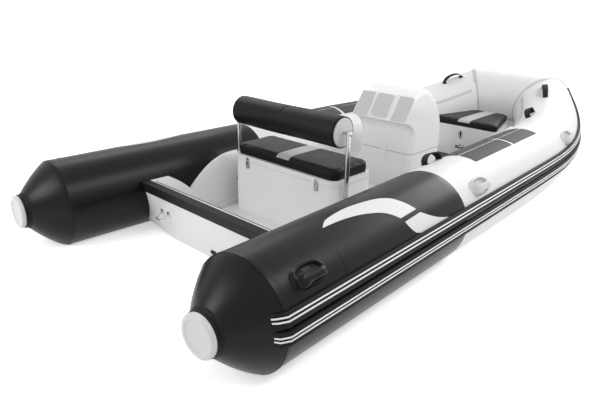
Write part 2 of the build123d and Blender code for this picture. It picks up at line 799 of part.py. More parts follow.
def build():
    nodes = {}
    cone, collar, cap = tail_pieces()
    cutters = tube_cutters()
    hull = hull_body()
    for cutter in cutters:
        hull = hull - cutter
    hull = biggest(split(hull, bisect_by=raked(TRANSOM_THICK), keep=Keep.TOP))
    nodes["hull"] = hull
    for name, shape in (
        ("tail_cone", cone),
        ("tail_collar", collar),
        ("tail_cap", cap),
        ("tube_aft", straight(side_ring(SEAM_X), side_ring(COLOUR_X))),
        ("tube_fore", straight(side_ring(COLOUR_X), side_ring(BEND_X))),
        ("tube_quarter", quarter_tube()),
        ("deck_pads", pads()),
        ("side_liner", side_liner(cutters, hull)),
        ("grab_handles", gather([handle(s, GRIP_SIZE, cutters[:2]) for s in GRIPS])),
        ("strap_handles", gather([handle(s, STRAP_SIZE, cutters[:2]) for s in STRAPS])),
    ):
        for side, piece in both(shape).items():
            nodes[f"{name}_{side}"] = piece
    nodes["tube_bow"] = front_tube()
    nodes.update(strakes(cone))

    nodes["transom"], nodes["transom_trim"] = transom(cutters)
    nodes["stern_eyes"] = gather(stern_eyes())
    nodes["drain"] = drain()
    nodes["deck_sole"] = sole()
    nodes["deck_mat"] = mat()

    nodes["seat_box"], nodes["seat_lid"], nodes["seat_cushion"] = seat()
    seam = SEAT_TOP + PART_GAP
    sides = (LATCH_Y, -LATCH_Y)
    nodes["seat_latches"] = latches(SEAT_X, SEAT_TOP - LATCH_HEIGHT, SEAT_TOP, LATCH_WIDTH, sides)
    nodes["seat_keepers"] = latches(SEAT_X, seam, seam + KEEPER_HEIGHT, LATCH_WIDTH, sides)
    front = SEAT_X + SEAT_LENGTH + KNUCKLE_DIA / 2
    nodes["seat_hinges"], nodes["seat_hinge_leaves"] = hinge_pair(front, seam, SEAT_HINGE_Y)
    bolster, discs, posts, pivots = backrest()
    nodes["bolster"] = bolster
    nodes["bolster_ends"] = gather(discs)
    nodes["backrest_posts"] = gather(posts)
    nodes["backrest_pivots"] = gather(pivots)

    nodes["console_base"], nodes["console_top"] = console()
    nodes["dash_panels"] = gather(dash_panels())
    front = CONSOLE_X + CONSOLE_LENGTH + KNUCKLE_DIA / 2
    seam = CONSOLE_SEAM + PART_GAP
    nodes["console_hinges"], nodes["console_hinge_leaves"] = hinge_pair(front, seam, CONSOLE_HINGE_Y)
    width, height = CONSOLE_LATCH
    catch = (width, (0,), PANEL_THICK)
    nodes["console_latch"] = latches(CONSOLE_X, CONSOLE_SEAM - height, CONSOLE_SEAM, *catch)
    nodes["console_keeper"] = latches(CONSOLE_X, seam, seam + CONSOLE_KEEPER_HEIGHT, *catch)

    nodes["bow_locker"] = bow_locker(cutters, hull)
    nodes["bow_lid"], nodes["bow_cushion"] = bow_tops()
    width, height = BOW_LATCH
    nodes["bow_latch"] = latches(LOCKER_X, LOCKER_TOP - height, LOCKER_TOP, width, (0,))
    nodes["bow_ring"] = bow_ring()
    front = BOW_LID_END + KNUCKLE_DIA / 2
    axle = LOCKER_TOP + PART_GAP + KNUCKLE_DIA / 2
    nodes["bow_hinges"], nodes["bow_hinge_leaves"] = hinge_pair(front, axle, BOW_HINGE_Y, True)
    return nodes


NOSE_STRETCH = 1 / FRONT_WAY.dot(Vector(0, -1, 0))
LENGTH = NOSE_X + (BOW_R + STRAKE_THICK + STRIPE_THICK + TUBE_GAP) * NOSE_STRETCH
WHERE = Pos(-LENGTH / 2, 0, -WATER_Z)

os.makedirs("parts", exist_ok=True)
for name, shape in build().items():
    export_step(WHERE * shape, f"parts/{name}.step")
    print(name, round(shape.volume / 1e6, 2), "litres")
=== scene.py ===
# %% [markdown]
# An inflatable boat with a rigid hull, seen from its starboard quarter.
# The CAD model gives every rigid part its size and its place. Blender adds what makes it look
# real: smooth air-filled tubes, ribbed rub strakes, sewn cushions, moulded handles and finishes.
# Everything is in metres, X forward, Y to port and Z up, with Z at 0 on the waterline.

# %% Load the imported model
import json
import math

import bmesh
import bpy
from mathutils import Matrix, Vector


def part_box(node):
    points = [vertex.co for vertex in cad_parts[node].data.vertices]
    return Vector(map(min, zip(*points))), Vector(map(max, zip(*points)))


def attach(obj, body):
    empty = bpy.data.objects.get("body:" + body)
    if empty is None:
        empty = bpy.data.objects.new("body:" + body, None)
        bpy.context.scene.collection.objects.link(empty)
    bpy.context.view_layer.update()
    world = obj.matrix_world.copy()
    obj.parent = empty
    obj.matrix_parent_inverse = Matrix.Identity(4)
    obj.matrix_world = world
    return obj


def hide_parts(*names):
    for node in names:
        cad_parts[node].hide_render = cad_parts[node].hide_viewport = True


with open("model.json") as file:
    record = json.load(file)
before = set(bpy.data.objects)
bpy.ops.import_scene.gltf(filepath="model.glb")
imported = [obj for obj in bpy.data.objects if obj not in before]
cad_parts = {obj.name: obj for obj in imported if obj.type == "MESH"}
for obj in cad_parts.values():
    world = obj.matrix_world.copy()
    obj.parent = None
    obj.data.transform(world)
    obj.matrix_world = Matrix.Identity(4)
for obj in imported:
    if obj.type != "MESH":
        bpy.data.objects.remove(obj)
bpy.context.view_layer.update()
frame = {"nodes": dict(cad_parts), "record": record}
NODES = frame["nodes"]

# %% [markdown]
# The camera stands behind the boat and to starboard, a little above waist height and close
# enough that the near tail looks larger than the far one. Its place was worked out from the
# photograph, so it is a plain set of numbers.

# %% Place the camera
CAMERA_PLACE = (-3.1180, -2.1750, 1.3744)
CAMERA_TILT = 69.076
CAMERA_YAW = -43.138
LENS_MM = 34.685
SENSOR_MM = 36
VIEW_SHIFT = 0.0658

scene = bpy.context.scene
eye = bpy.data.cameras.new("camera")
eye.lens = LENS_MM
eye.sensor_width = SENSOR_MM
eye.shift_x = VIEW_SHIFT
camera = bpy.data.objects.new("camera", eye)
camera.location = CAMERA_PLACE
camera.rotation_euler = (math.radians(CAMERA_TILT), 0, math.radians(CAMERA_YAW))
scene.collection.objects.link(camera)
scene.camera = camera
scene.view_settings.view_transform = "Standard"
print("camera", camera.location)

# %% [markdown]
# Shader maths reads best as ordinary sums. This class wraps one output socket, and each sum on
# it adds the Math node that works it out. Other nodes come from one method, which takes the
# node's type, its settings and what goes into its sockets.


# %% Write shader maths as sums
MIX_COLOURS = slice(6, 8)
MIX_RESULT = 2


class Number:
    """An output socket that can be added, multiplied and compared."""

    def __init__(self, recipe, socket):
        self.recipe, self.socket = recipe, socket

    def math(self, operation, *values):
        return self.recipe.node("Math", {"operation": operation}, dict(enumerate(values)))

    def __add__(self, other):
        return self.math("ADD", self, other)

    def __sub__(self, other):
        return self.math("SUBTRACT", self, other)

    def __rsub__(self, other):
        return self.math("SUBTRACT", other, self)

    def __mul__(self, other):
        return self.math("MULTIPLY", self, other)

    def __lt__(self, other):
        return self.math("LESS_THAN", self, other)

    def __gt__(self, other):
        return self.math("GREATER_THAN", self, other)

    def __abs__(self):
        return self.math("ABSOLUTE", self)

    def wave(self):
        return self.math("SINE", self)

    __radd__ = __add__
    __rmul__ = __mul__


class Recipe:
    """A material and the nodes that make it."""

    def __init__(self, name, **sockets):
        self.material = bpy.data.materials.new(name)
        self.material.use_nodes = True
        self.tree = self.material.node_tree
        self.shader = self.tree.nodes["Principled BSDF"]
        self.set(**sockets)

    def feed(self, socket, value):
        if isinstance(value, Number):
            self.tree.links.new(value.socket, socket)
        elif hasattr(value, "__len__") and socket.type == "RGBA" and len(value) == 3:
            socket.default_value = (*value, 1)
        else:
            socket.default_value = value

    def set(self, **sockets):
        for name, value in sockets.items():
            self.feed(self.shader.inputs[name.replace("_", " ")], value)

    def node(self, kind, settings=None, sockets=None, out=0):
        made = self.tree.nodes.new("ShaderNode" + kind)
        for name, value in (settings or {}).items():
            setattr(made, name, value)
        for name, value in (sockets or {}).items():
            self.feed(made.inputs[name], value)
        return Number(self, made.outputs[out])

    def place(self, out="Object"):
        return self.node("TexCoord", out=out)

    def axes(self, vector):
        split = self.node("SeparateXYZ", sockets={0: vector}).socket.node
        return [Number(self, socket) for socket in split.outputs]

    def noise(self, scale, detail):
        sockets = {"Vector": self.place(), "Scale": scale, "Detail": detail}
        return self.node("TexNoise", sockets=sockets)

    def cells(self, scale):
        sockets = {"Vector": self.place(), "Scale": scale}
        return self.node("TexVoronoi", sockets=sockets, out="Distance")

    def mix(self, factor, first, second):
        made = self.node("Mix", {"data_type": "RGBA"}, {0: factor}, out=MIX_RESULT)
        for socket, colour in zip(made.socket.node.inputs[MIX_COLOURS], (first, second)):
            self.feed(socket, colour)
        return made

    def bump(self, height, depth, strength):
        sockets = {"Height": height, "Distance": depth, "Strength": strength}
        self.set(Normal=self.node("Bump", sockets=sockets))


MADE = {}
print("shader maths ready")

# %% [markdown]
# The tubes are coated fabric: a woven core under a satin skin. From a few metres only a soft
# sheen shows, with a faint cloudiness where hands and water have dulled it. Close up there is a
# very fine weave, so a small bump carries that, and a slow noise moves the roughness about.


# %% Coated fabric, black, white and grey
WEAVE_SCALE = 900
WEAVE_DEPTH = 0.0002
CLOUD_SCALE = 2.5


def coated_fabric(name, colour, worn, rough, specular):
    recipe = Recipe(name, Specular_IOR_Level=specular)
    cloud = recipe.noise(CLOUD_SCALE, 4)
    grain = recipe.noise(WEAVE_SCALE, 1)
    recipe.set(
        Base_Color=recipe.mix(cloud * 0.8, colour, worn),
        Roughness=rough + (cloud - 0.5) * 0.12,
    )
    recipe.bump(grain, WEAVE_DEPTH, 0.35)
    return recipe.material


MADE["tube_black"] = coated_fabric(
    "black coated fabric", (0.0030, 0.0030, 0.0034), (0.0055, 0.0055, 0.006), 0.33, 0.18
)
MADE["tube_white"] = coated_fabric(
    "white coated fabric", (0.71, 0.71, 0.71), (0.66, 0.66, 0.665), 0.40, 0.25
)
MADE["tape_grey"] = coated_fabric(
    "grey seam tape", (0.50, 0.50, 0.505), (0.45, 0.45, 0.455), 0.42, 0.4
)
MADE["tape_black"] = coated_fabric(
    "black seam tape", (0.006, 0.006, 0.0065), (0.010, 0.010, 0.0105), 0.34, 0.16
)
print("fabrics", len(MADE))

# %% [markdown]
# Gelcoat is the polished outer layer of a moulding. It is glossy, but never quite flat: a slow
# ripple bends its reflections a little. A thin clear coat gives the wet look of wax on it.


# %% Gelcoat and smooth mouldings
RIPPLE_SCALE = 38
RIPPLE_DEPTH = 0.0006


def gelcoat(name, colour, dusty, rough=0.22, coat=0.25):
    recipe = Recipe(name, Coat_Weight=coat, Coat_Roughness=0.08, Specular_IOR_Level=0.45)
    cloud = recipe.noise(3.5, 4)
    recipe.set(
        Base_Color=recipe.mix(cloud * 0.7, colour, dusty),
        Roughness=rough + (cloud - 0.5) * 0.10,
    )
    recipe.bump(recipe.noise(RIPPLE_SCALE, 2), RIPPLE_DEPTH, 0.16)
    return recipe.material


MADE["gelcoat"] = gelcoat("light gelcoat", (0.80, 0.80, 0.79), (0.76, 0.76, 0.75))
MADE["hull_white"] = gelcoat("hull gelcoat", (0.66, 0.66, 0.645), (0.61, 0.61, 0.595), 0.28)
MADE["console_grp"] = gelcoat("console gelcoat", (0.82, 0.82, 0.82), (0.78, 0.78, 0.785), 0.2)
MADE["white_plastic"] = gelcoat(
    "white moulding", (0.60, 0.60, 0.595), (0.56, 0.56, 0.555), 0.35, 0
)
print("mouldings ready")

# %% [markdown]
# Cushions and bolster are covered in marine vinyl, which is pressed with a leather grain. Two
# sizes of cells make the grain's pebbles and the fine wrinkles between them.


# %% Vinyl, black with a light grey stripe
DEEP_BLACK = (0.005, 0.005, 0.0055)
SCUFFED_BLACK = (0.009, 0.009, 0.0095)
PEBBLE_SCALE = 420
WRINKLE_SCALE = 900
LEATHER_DEPTH = 0.0005


def vinyl(name, colour, worn, stripe=None):
    recipe = Recipe(name, Specular_IOR_Level=0.14)
    cloud = recipe.noise(7, 4)
    skin = recipe.mix(cloud, colour, worn)
    if stripe:
        half, level, grey = stripe
        _, y, z = recipe.axes(recipe.place())
        skin = recipe.mix((abs(y) < half) * (z > level), skin, grey)
    recipe.set(Base_Color=skin, Roughness=0.42 + (cloud - 0.5) * 0.2)
    grain = recipe.cells(PEBBLE_SCALE) * 0.6 + recipe.noise(WRINKLE_SCALE, 2) * 0.4
    recipe.bump(grain, LEATHER_DEPTH, 0.5)
    return recipe.material


MADE["vinyl_black"] = vinyl("black vinyl", DEEP_BLACK, SCUFFED_BLACK)
print("vinyl ready")

# %% [markdown]
# The pads and the deck mat are non-slip sheet with a pressed pattern of small studs. The
# strakes and edges are plain black rubber. Steel fittings are polished, with faint swirls.


# %% Rubber, non-slip sheet, webbing and steel
STUD_SCALE = 260
STUD_SIZE = 0.35
THREAD_TURN = 2.2


def rubber(name, colour, worn, rough=0.5):
    recipe = Recipe(name, Specular_IOR_Level=0.14)
    cloud = recipe.noise(12, 4)
    recipe.set(Base_Color=recipe.mix(cloud, colour, worn), Roughness=rough + (cloud - 0.5) * 0.16)
    recipe.bump(recipe.noise(500, 2), 0.0003, 0.4)
    return recipe.material


def non_slip(name, colour, worn):
    recipe = Recipe(name, Specular_IOR_Level=0.3, Roughness=0.62)
    studs = recipe.cells(STUD_SCALE)
    recipe.set(Base_Color=recipe.mix(recipe.noise(9, 4), colour, worn))
    recipe.bump(studs < STUD_SIZE, 0.0006, 0.6)
    return recipe.material


def woven(name, colour, worn):
    """Webbing: two crossed waves on the strap's own map, in millimetres."""
    recipe = Recipe(name, Specular_IOR_Level=0.25, Roughness=0.75)
    u, v, _ = recipe.axes(recipe.place("UV"))
    threads = (u * THREAD_TURN).wave() * (v * THREAD_TURN).wave()
    recipe.set(Base_Color=recipe.mix(threads * 0.5 + 0.5, colour, worn))
    recipe.bump(threads, 0.0004, 0.8)
    return recipe.material


def steel(name, colour, rough):
    recipe = Recipe(name, Metallic=1.0)
    cloud = recipe.noise(60, 4)
    recipe.set(Base_Color=recipe.mix(cloud, colour, [c * 0.86 for c in colour]))
    recipe.set(Roughness=rough + (cloud - 0.5) * 0.12)
    recipe.bump(recipe.noise(320, 2), 0.0001, 0.3)
    return recipe.material


MADE["strake_rubber"] = rubber("strake rubber", DEEP_BLACK, (0.008, 0.008, 0.0085))
MADE["rubber"] = rubber("edge rubber", DEEP_BLACK, SCUFFED_BLACK)
MADE["stripe_white"] = rubber("white inlay", (0.84, 0.84, 0.84), (0.78, 0.78, 0.78), 0.42)
MADE["handle_black"] = rubber("black handle", (0.006, 0.006, 0.0065), (0.010, 0.010, 0.0105), 0.3)
MADE["handle_rubber"] = rubber("grey handle", (0.56, 0.56, 0.56), (0.5, 0.5, 0.5), 0.4)
MADE["pad_grey"] = non_slip("non-slip sheet", (0.038, 0.039, 0.041), (0.050, 0.051, 0.053))
MADE["panel_grey"] = rubber("dash panel", (0.58, 0.58, 0.585), (0.54, 0.54, 0.545), 0.5)
MADE["webbing"] = woven("black webbing", (0.007, 0.007, 0.0075), (0.018, 0.018, 0.019))
MADE["stainless"] = steel("polished steel", (0.60, 0.60, 0.61), 0.18)
print("finishes", sorted(MADE))

# %% [markdown]
# Each CAD node knows its slot in the record. One pass gives every node that finish, and later
# cells only touch the nodes that need something better.

# %% Dress the CAD nodes
for part in frame["record"]["subparts"]:
    mesh = NODES[part["node"]].data
    mesh.materials.clear()
    mesh.materials.append(MADE[part["material_slot"]])

# %% [markdown]
# A studio for a boat is a white room with large soft lamps overhead. The floor is plain and
# pale, and lies at the waterline, so the hull's bottom goes down through it as it would in water.

# %% Light the studio
FLOOR_SIZE = 60
PAPER_SHADE = (0.92, 0.92, 0.92)
PAPER_GLOW = 0.52
ROOM_SHADE = (0.50, 0.505, 0.51)
BLACK, WHITE = (0, 0, 0), (1, 1, 1)
LOOKS = ("Camera", "Glossy", "Transmission")


def seen(recipe):
    """1 where the eye, a mirror or glass looks at the surface, and 0 for its light on things."""
    rays = [recipe.node("LightPath", out=f"Is {kind} Ray") for kind in LOOKS]
    total = rays[0] + rays[1] + rays[2]
    return total.math("MINIMUM", total, 1.0)


floor_mesh = bmesh.new()
bmesh.ops.create_grid(floor_mesh, x_segments=1, y_segments=1, size=FLOOR_SIZE)
floor_data = bpy.data.meshes.new("floor")
floor_mesh.to_mesh(floor_data)
floor = bpy.data.objects.new("floor", floor_data)
scene.collection.objects.link(floor)
paper = Recipe("floor paper", Base_Color=PAPER_SHADE, Roughness=0.9, Specular_IOR_Level=0.1)
paper.set(Emission_Color=paper.mix(seen(paper), BLACK, WHITE), Emission_Strength=PAPER_GLOW)
floor_data.materials.append(paper.material)

room = bpy.data.worlds.new("room")
room.use_nodes = True
scene.world = room
sky = Recipe.__new__(Recipe)
sky.tree = room.node_tree
back = room.node_tree.nodes["Background"]
sky.feed(back.inputs["Color"], sky.mix(seen(sky), ROOM_SHADE, WHITE))
back.inputs["Strength"].default_value = 1.0


def softbox(name, place, aim, size, watts):
    lamp = bpy.data.lights.new(name, "AREA")
    lamp.shape = "RECTANGLE"
    lamp.size, lamp.size_y = size
    lamp.energy = watts
    made = bpy.data.objects.new(name, lamp)
    made.location = place
    made.rotation_euler = (Vector(aim) - Vector(place)).to_track_quat("-Z", "Y").to_euler()
    scene.collection.objects.link(made)


LAMPS = {
    "key": ((0.8, -3.4, 4.6), (0.3, -0.2, 0.3), (4.5, 1.6), 150),
    "front": ((5.6, -0.6, 3.2), (0.2, -0.7, 0.3), (3.6, 1.8), 140),
    "back": ((1.0, 4.2, 4.2), (0.4, 0.3, 0.3), (4.0, 1.4), 50),
    "stern": ((-5.2, 1.2, 2.8), (-1.0, 0, 0.3), (2.4, 1.4), 95),
}
for name, (place, aim, size, watts) in LAMPS.items():
    softbox(name, place, aim, size, watts)
print("lamps", len(bpy.data.lights))

# %% [markdown]
# Everything on the tubes is easiest to place by two numbers: how far along the tube it is, and
# how many degrees round from its outboard side. The tube runs straight from the tail, bends in
# and up along one smooth curve, meets the front tube at a mitre, and ends on the centreline.
# One function turns those numbers into a point, so a strake, a stripe and a handle all agree.


# %% Follow the tubes
HALF_LENGTH = 2.1208
AXIS_RISE = 0.216
TUBE_RADIUS = 0.240
BOW_RADIUS = 0.2215
TAIL_AXIS = Vector((0, 0.785, 0))
BEND_START = Vector((2.490, 0.667, 0))
BEND_END = Vector((3.956, 0.288, 0.187))
NOSE = Vector((4.000, 0, 0.182))
BEND_REACH = 0.588
BOW_TOE, BOW_CLIMB = math.radians(37), math.radians(21)
CONE_START, CONE_END = 0.050, 0.210
NECK_RADIUS = 0.100
CONE_BULGE = 0.009
COLOUR_CHANGE = 1.550

side_way = (BEND_START - TAIL_AXIS).normalized()
bow_way = Vector((math.cos(BOW_TOE), -math.sin(BOW_TOE), 0)) * math.cos(BOW_CLIMB)
bow_way.z = math.sin(BOW_CLIMB)
front_way = (NOSE - BEND_END).normalized()
mitre_normal = (bow_way + front_way).normalized()
BEND = [BEND_START, BEND_START + side_way * BEND_REACH, BEND_END - bow_way * BEND_REACH, BEND_END]
BENT = BEND_START.x
MITRED, CENTRED = BENT + 2, BENT + 3
HALVINGS = 24


def side_radius(station):
    """Radius of the side tube, which swells out from the neck of its tail cone."""
    share = (station - CONE_START) / (CONE_END - CONE_START)
    if share >= 1:
        return TUBE_RADIUS
    return NECK_RADIUS + (TUBE_RADIUS - NECK_RADIUS) * share + 4 * CONE_BULGE * share * (1 - share)


def hoop(run):
    """Centre, direction and radius of the port tube, up to the end of its bend."""
    if run <= BENT:
        return TAIL_AXIS + side_way * (run / side_way.x), side_way, side_radius(run)
    share = min(run - BENT, 1)
    rest = 1 - share
    a, b, c, d = BEND
    centre = a * rest**3 + b * 3 * rest**2 * share + c * 3 * rest * share**2 + d * share**3
    way = (b - a) * rest**2 + (c - b) * 2 * rest * share + (d - c) * share**2
    return centre, way.normalized(), TUBE_RADIUS + (BOW_RADIUS - TUBE_RADIUS) * share


def slide(point, way, on, normal):
    return point + way * ((on - point).dot(normal) / way.dot(normal))


def row_frame(point, side=1):
    return Vector((point.x - HALF_LENGTH, side * point.y, point.z + AXIS_RISE))


def skin(run, angle, height=0.0, side=1):
    """A point over the tube. Run is the station up to the bend, then counts 1 for the bend,
    1 more up to the mitre and 1 more to the centreline."""
    centre, way, radius = hoop(run)
    across = Vector((0, 0, 1)).cross(way).normalized()
    turn = math.radians(angle)
    out = across * math.cos(turn) + way.cross(across) * math.sin(turn)
    point = centre + out * (radius + height)
    if run > BENT + 1:
        mitre = slide(point, bow_way, BEND_END, mitre_normal)
        if run > MITRED:
            nose = slide(mitre, front_way, NOSE, Vector((0, 1, 0)))
            point = mitre.lerp(nose, run - MITRED)
        else:
            point = point.lerp(mitre, run - BENT - 1)
    return row_frame(point, side)


def run_at(station):
    """The run at a station, found by halving on the bend."""
    if station <= BENT:
        return station
    low, high = BENT, BENT + 1
    for _ in range(HALVINGS):
        middle = (low + high) / 2
        low, high = (middle, high) if hoop(middle)[0].x < station else (low, middle)
    return low


print("mitre at", skin(MITRED, 0))

# %% [markdown]
# Most of this boat is skin: a grid that is laid over a shape. The grid comes from one bmesh
# operator and each of its corners then moves to its place. Where its edges meet they are
# merged, an open end is filled, and a patch gets its thickness from solidify. The map keeps
# real lengths in millimetres, so that a weave has its true size wherever the piece lies.

# %% Lay a grid over a shape
MERGE = 1e-6
CREASE = math.radians(35)
MILLIMETRES = 1000


def finish_piece(name, bm, finish, body, crease=CREASE, smooth=True):
    """Turn a bmesh into a piece of the boat that rides on a body."""
    data = bpy.data.meshes.new(name)
    bm.to_mesh(data)
    bm.free()
    if smooth:
        data.polygons.foreach_set("use_smooth", [True] * len(data.polygons))
        data.set_sharp_from_angle(angle=crease)
    piece = bpy.data.objects.new(name, data)
    scene.collection.objects.link(piece)
    data.materials.append(MADE[finish])
    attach(piece, body)
    return piece


def grid(rows, columns, place, size=(1, 1)):
    """A grid whose corner (i, j) is at place(i, j), mapped at its size in millimetres."""
    bm = bmesh.new()
    bmesh.ops.create_grid(bm, x_segments=rows, y_segments=columns, size=0.5)
    mapping = bm.loops.layers.uv.new("map")
    for face in bm.faces:
        for loop in face.loops:
            flat = loop.vert.co
            loop[mapping].uv = [(flat[k] + 0.5) * size[k] * MILLIMETRES for k in (0, 1)]
    for corner in bm.verts:
        i = round((corner.co.x + 0.5) * rows)
        j = round((corner.co.y + 0.5) * columns)
        corner.co = place(i, j)
    bmesh.ops.remove_doubles(bm, verts=bm.verts, dist=MERGE)
    return bm


def close(bm):
    """Fill the open ends and turn every face outwards."""
    edges = [edge for edge in bm.edges if edge.is_boundary]
    if edges:
        bmesh.ops.holes_fill(bm, edges=edges, sides=0)
    bmesh.ops.recalc_face_normals(bm, faces=bm.faces)
    return bm


def thicken(bm, thick):
    """Give a patch its thickness, inwards from its face."""
    bmesh.ops.recalc_face_normals(bm, faces=bm.faces)
    bmesh.ops.solidify(bm, geom=bm.faces, thickness=thick)
    bmesh.ops.recalc_face_normals(bm, faces=bm.faces)
    return bm


SIDES = {"port": 1, "starboard": -1}
print("grids ready")

# %% [markdown]
# The CAD tubes are exact, but they come as flat triangles. An air-filled tube has to catch the
# light without a break, so each length is laid again as a fine smooth grid that is closed at
# both ends. Near a seam the fabric is drawn in by a millimetre or two, as glued cloth is.

# %% Blow up the tubes
AROUND = 120
CONE_STEPS, AFT_STEPS, FORE_STEPS, BEND_STEPS, FRONT_STEPS = 16, 24, 16, 40, 12
SEAM_DRAW = 0.0018
SEAM_REACH = 0.020


def tube_skin(name, stops, side, node, finish):
    """One length of tube between its first and last stops."""

    def place(i, j):
        draw = SEAM_DRAW if i in (0, len(stops) - 1) else 0
        return skin(stops[i], 360 * j / AROUND, -draw, side)

    piece = finish_piece(name, close(grid(len(stops) - 1, AROUND, place)), finish, "boat")
    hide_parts(node)


def stops_between(first, last, count):
    return [first + (last - first) * k / count for k in range(count + 1)]


cone_stops = stops_between(CONE_START, CONE_END, CONE_STEPS)
aft_stops = stops_between(CONE_END, COLOUR_CHANGE, AFT_STEPS)
aft_stops[1:1] = [CONE_END + SEAM_REACH]
aft_stops[-1:-1] = [COLOUR_CHANGE - SEAM_REACH]
fore_stops = stops_between(COLOUR_CHANGE, BENT, FORE_STEPS)
bend_stops = [*stops_between(BENT, BENT + 1, BEND_STEPS), MITRED]
for word, side in SIDES.items():
    tube_skin(f"cone_{word}", cone_stops, side, f"tail_cone_{word}", "tube_black")
    tube_skin(f"aft_tube_{word}", aft_stops, side, f"tube_aft_{word}", "tube_black")
    tube_skin(f"fore_tube_{word}", fore_stops, side, f"tube_fore_{word}", "tube_white")
    tube_skin(f"quarter_{word}", bend_stops, side, f"tube_quarter_{word}", "tube_white")


def front_place(i, j):
    share = i / FRONT_STEPS
    side = 1 if share <= 0.5 else -1
    return skin(MITRED + 1 - abs(2 * share - 1), 360 * j / AROUND, 0, side)


front = grid(FRONT_STEPS, AROUND, front_place)
front = finish_piece("front_tube", close(front), "tube_white", "boat")
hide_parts("tube_bow")
print("tubes", 4 * len(SIDES) + 1)

# %% [markdown]
# A rub strake is a thick rubber moulding that is glued right round the boat to fend it off a
# quay. Fine ribs run its whole length, with two white inlays. Its section is drawn once, as
# angles and heights over the tube, and carried along both sides and across the bow.

# %% Run the strakes round the boat
STRAKE_HEIGHT = 0.0150
RIB_PITCH = 1.25
RIB_DEPTH = 0.0012
RIB_POINTS = 4
SHOULDER = 1.3
INLAY_HALF = 0.72
INLAY_ROOM = 0.3
INLAY_SUNK = 0.001
INLAY_EDGE = 0.0008
INLAY_PROUD = 0.0022
STRAKE_START = 0.168
STRAKE_TAPER = 0.012
STRAKE_TIP = 0.15
STRAKE_MIDDLE = 10.5
STRAKES = {
    "strake_upper": ((12.3, 25.6), (17.7, 21.2)),
    "strake_lower": ((-4.6, 9.8), (1.3, 4.6)),
}

half_way = stops_between(STRAKE_START, STRAKE_START + STRAKE_TAPER, 6)
half_way += [0.195, *stops_between(CONE_END, BENT, 20)]
half_way += stops_between(BENT, BENT + 1, BEND_STEPS)[1:] + [MITRED, CENTRED]
ROUND_BOAT = [(run, 1) for run in half_way] + [(run, -1) for run in reversed(half_way[:-1])]


def taper(run):
    share = min(max((run - STRAKE_START) / STRAKE_TAPER, 0), 1)
    return STRAKE_TIP + (1 - STRAKE_TIP) * share * share * (3 - 2 * share)


def strake_section(low, high, inlays):
    """The strake's section as (angle, height) pairs, ribbed but for the inlays' beds."""
    flat = high - low - 2 * SHOULDER
    count = round(flat / RIB_PITCH) * RIB_POINTS
    edge = [(0, 0), (0, 0.6 * STRAKE_HEIGHT), (0.35 * SHOULDER, 0.9 * STRAKE_HEIGHT)]
    outline = [(low + inwards, height) for inwards, height in edge]
    for k in range(count + 1):
        angle = low + SHOULDER + flat * k / count
        bed = any(abs(angle - inlay) < INLAY_HALF + INLAY_ROOM for inlay in inlays)
        dip = 0 if bed else RIB_DEPTH * (0.5 - 0.5 * math.cos(2 * math.pi * k / RIB_POINTS))
        outline.append((angle, STRAKE_HEIGHT - dip))
    outline += [(high - inwards, height) for inwards, height in reversed(edge)]
    return outline + [((low + high) / 2, 0)]


def inlay_section(middle):
    top = STRAKE_HEIGHT + INLAY_PROUD
    edge = [(1, STRAKE_HEIGHT - INLAY_SUNK), (1, top - INLAY_EDGE), (0.6, top)]
    low = [(middle - INLAY_HALF * share, height) for share, height in edge]
    return low + [(middle + INLAY_HALF * share, height) for share, height in reversed(edge)]


def run_section(section):
    """A closed section carried along the boat from tail to tail."""

    def place(i, j):
        run, side = ROUND_BOAT[i]
        angle, height = section[j % len(section)]
        spread = TUBE_RADIUS / hoop(run)[2] if run < BENT else 1
        angle = STRAKE_MIDDLE + (angle - STRAKE_MIDDLE) * spread
        return skin(run, angle, height * taper(run), side)

    return close(grid(len(ROUND_BOAT) - 1, len(section), place))


for node, (span, inlays) in STRAKES.items():
    ribbed = run_section(strake_section(*span, inlays))
    ribbed = finish_piece(f"{node}_rubber", ribbed, "strake_rubber", "boat")
    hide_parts(node)
    for number, inlay in enumerate(inlays):
        line = run_section(inlay_section(inlay))
        line = finish_piece(f"{node}_inlay_{number}", line, "stripe_white", "boat")
    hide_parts(f"{node}_lines")
    print(node, len(ribbed.data.polygons), "faces")

# %% [markdown]
# The white flash on each black tube is cut from white fabric and glued on, so it is made as a
# thin patch with an edge, and not painted. Two smooth curves bound each patch, and the grid
# runs from one curve to the other. Plain black patches and tapes are laid on in the same way.

# %% Glue on the flash and the patches
PATCH_THICK = 0.0012
PATCH_STEP = 6
PATCH_MAP = (0.5, 0.1)
FLASH_TOP = [
    (0.619, 77.3), (0.652, 82.5), (0.701, 87.0), (0.842, 90.4),
    (0.999, 85.4), (1.085, 77.2), (1.126, 66.5), (1.172, 50.4),
]
FLASH_FOOT = [
    (0.619, 77.3), (0.690, 77.2), (0.761, 76.0), (0.840, 73.0),
    (0.902, 68.9), (0.955, 64.2), (0.996, 58.0), (1.036, 49.0),
]
BLADE_FORE = [(1.185, 45.4), (1.216, 40.4), (1.259, 34.8), (1.310, 29.9), (1.385, 25.2)]
BLADE_AFT = [(1.047, 43.7), (1.056, 37.6), (1.072, 31.8), (1.092, 27.8), (1.130, 25.2)]
BARE_TOP = [(0.580, 51.0), (0.780, 50.0), (0.980, 46.5)]
BARE_FOOT = [(0.580, 27.5), (0.780, 27.5), (0.980, 27.5)]
BOW_TAPE_TOP = [(3.47, 140.6), (3.66, 142.0), (3.87, 143.8)]
BOW_TAPE_FOOT = [(3.47, 147.4), (3.66, 148.6), (3.87, 150.2)]
AFT_TAPE_TOP = [(0.21, 143), (0.9, 143), (1.55, 143)]
AFT_TAPE_FOOT = [(0.21, 151), (0.9, 151), (1.55, 151)]
THIN_TAPE, BOW_TAPE = 0.0007, 0.0008
FLASH_COLUMNS, TAPE_COLUMNS = 24, 8


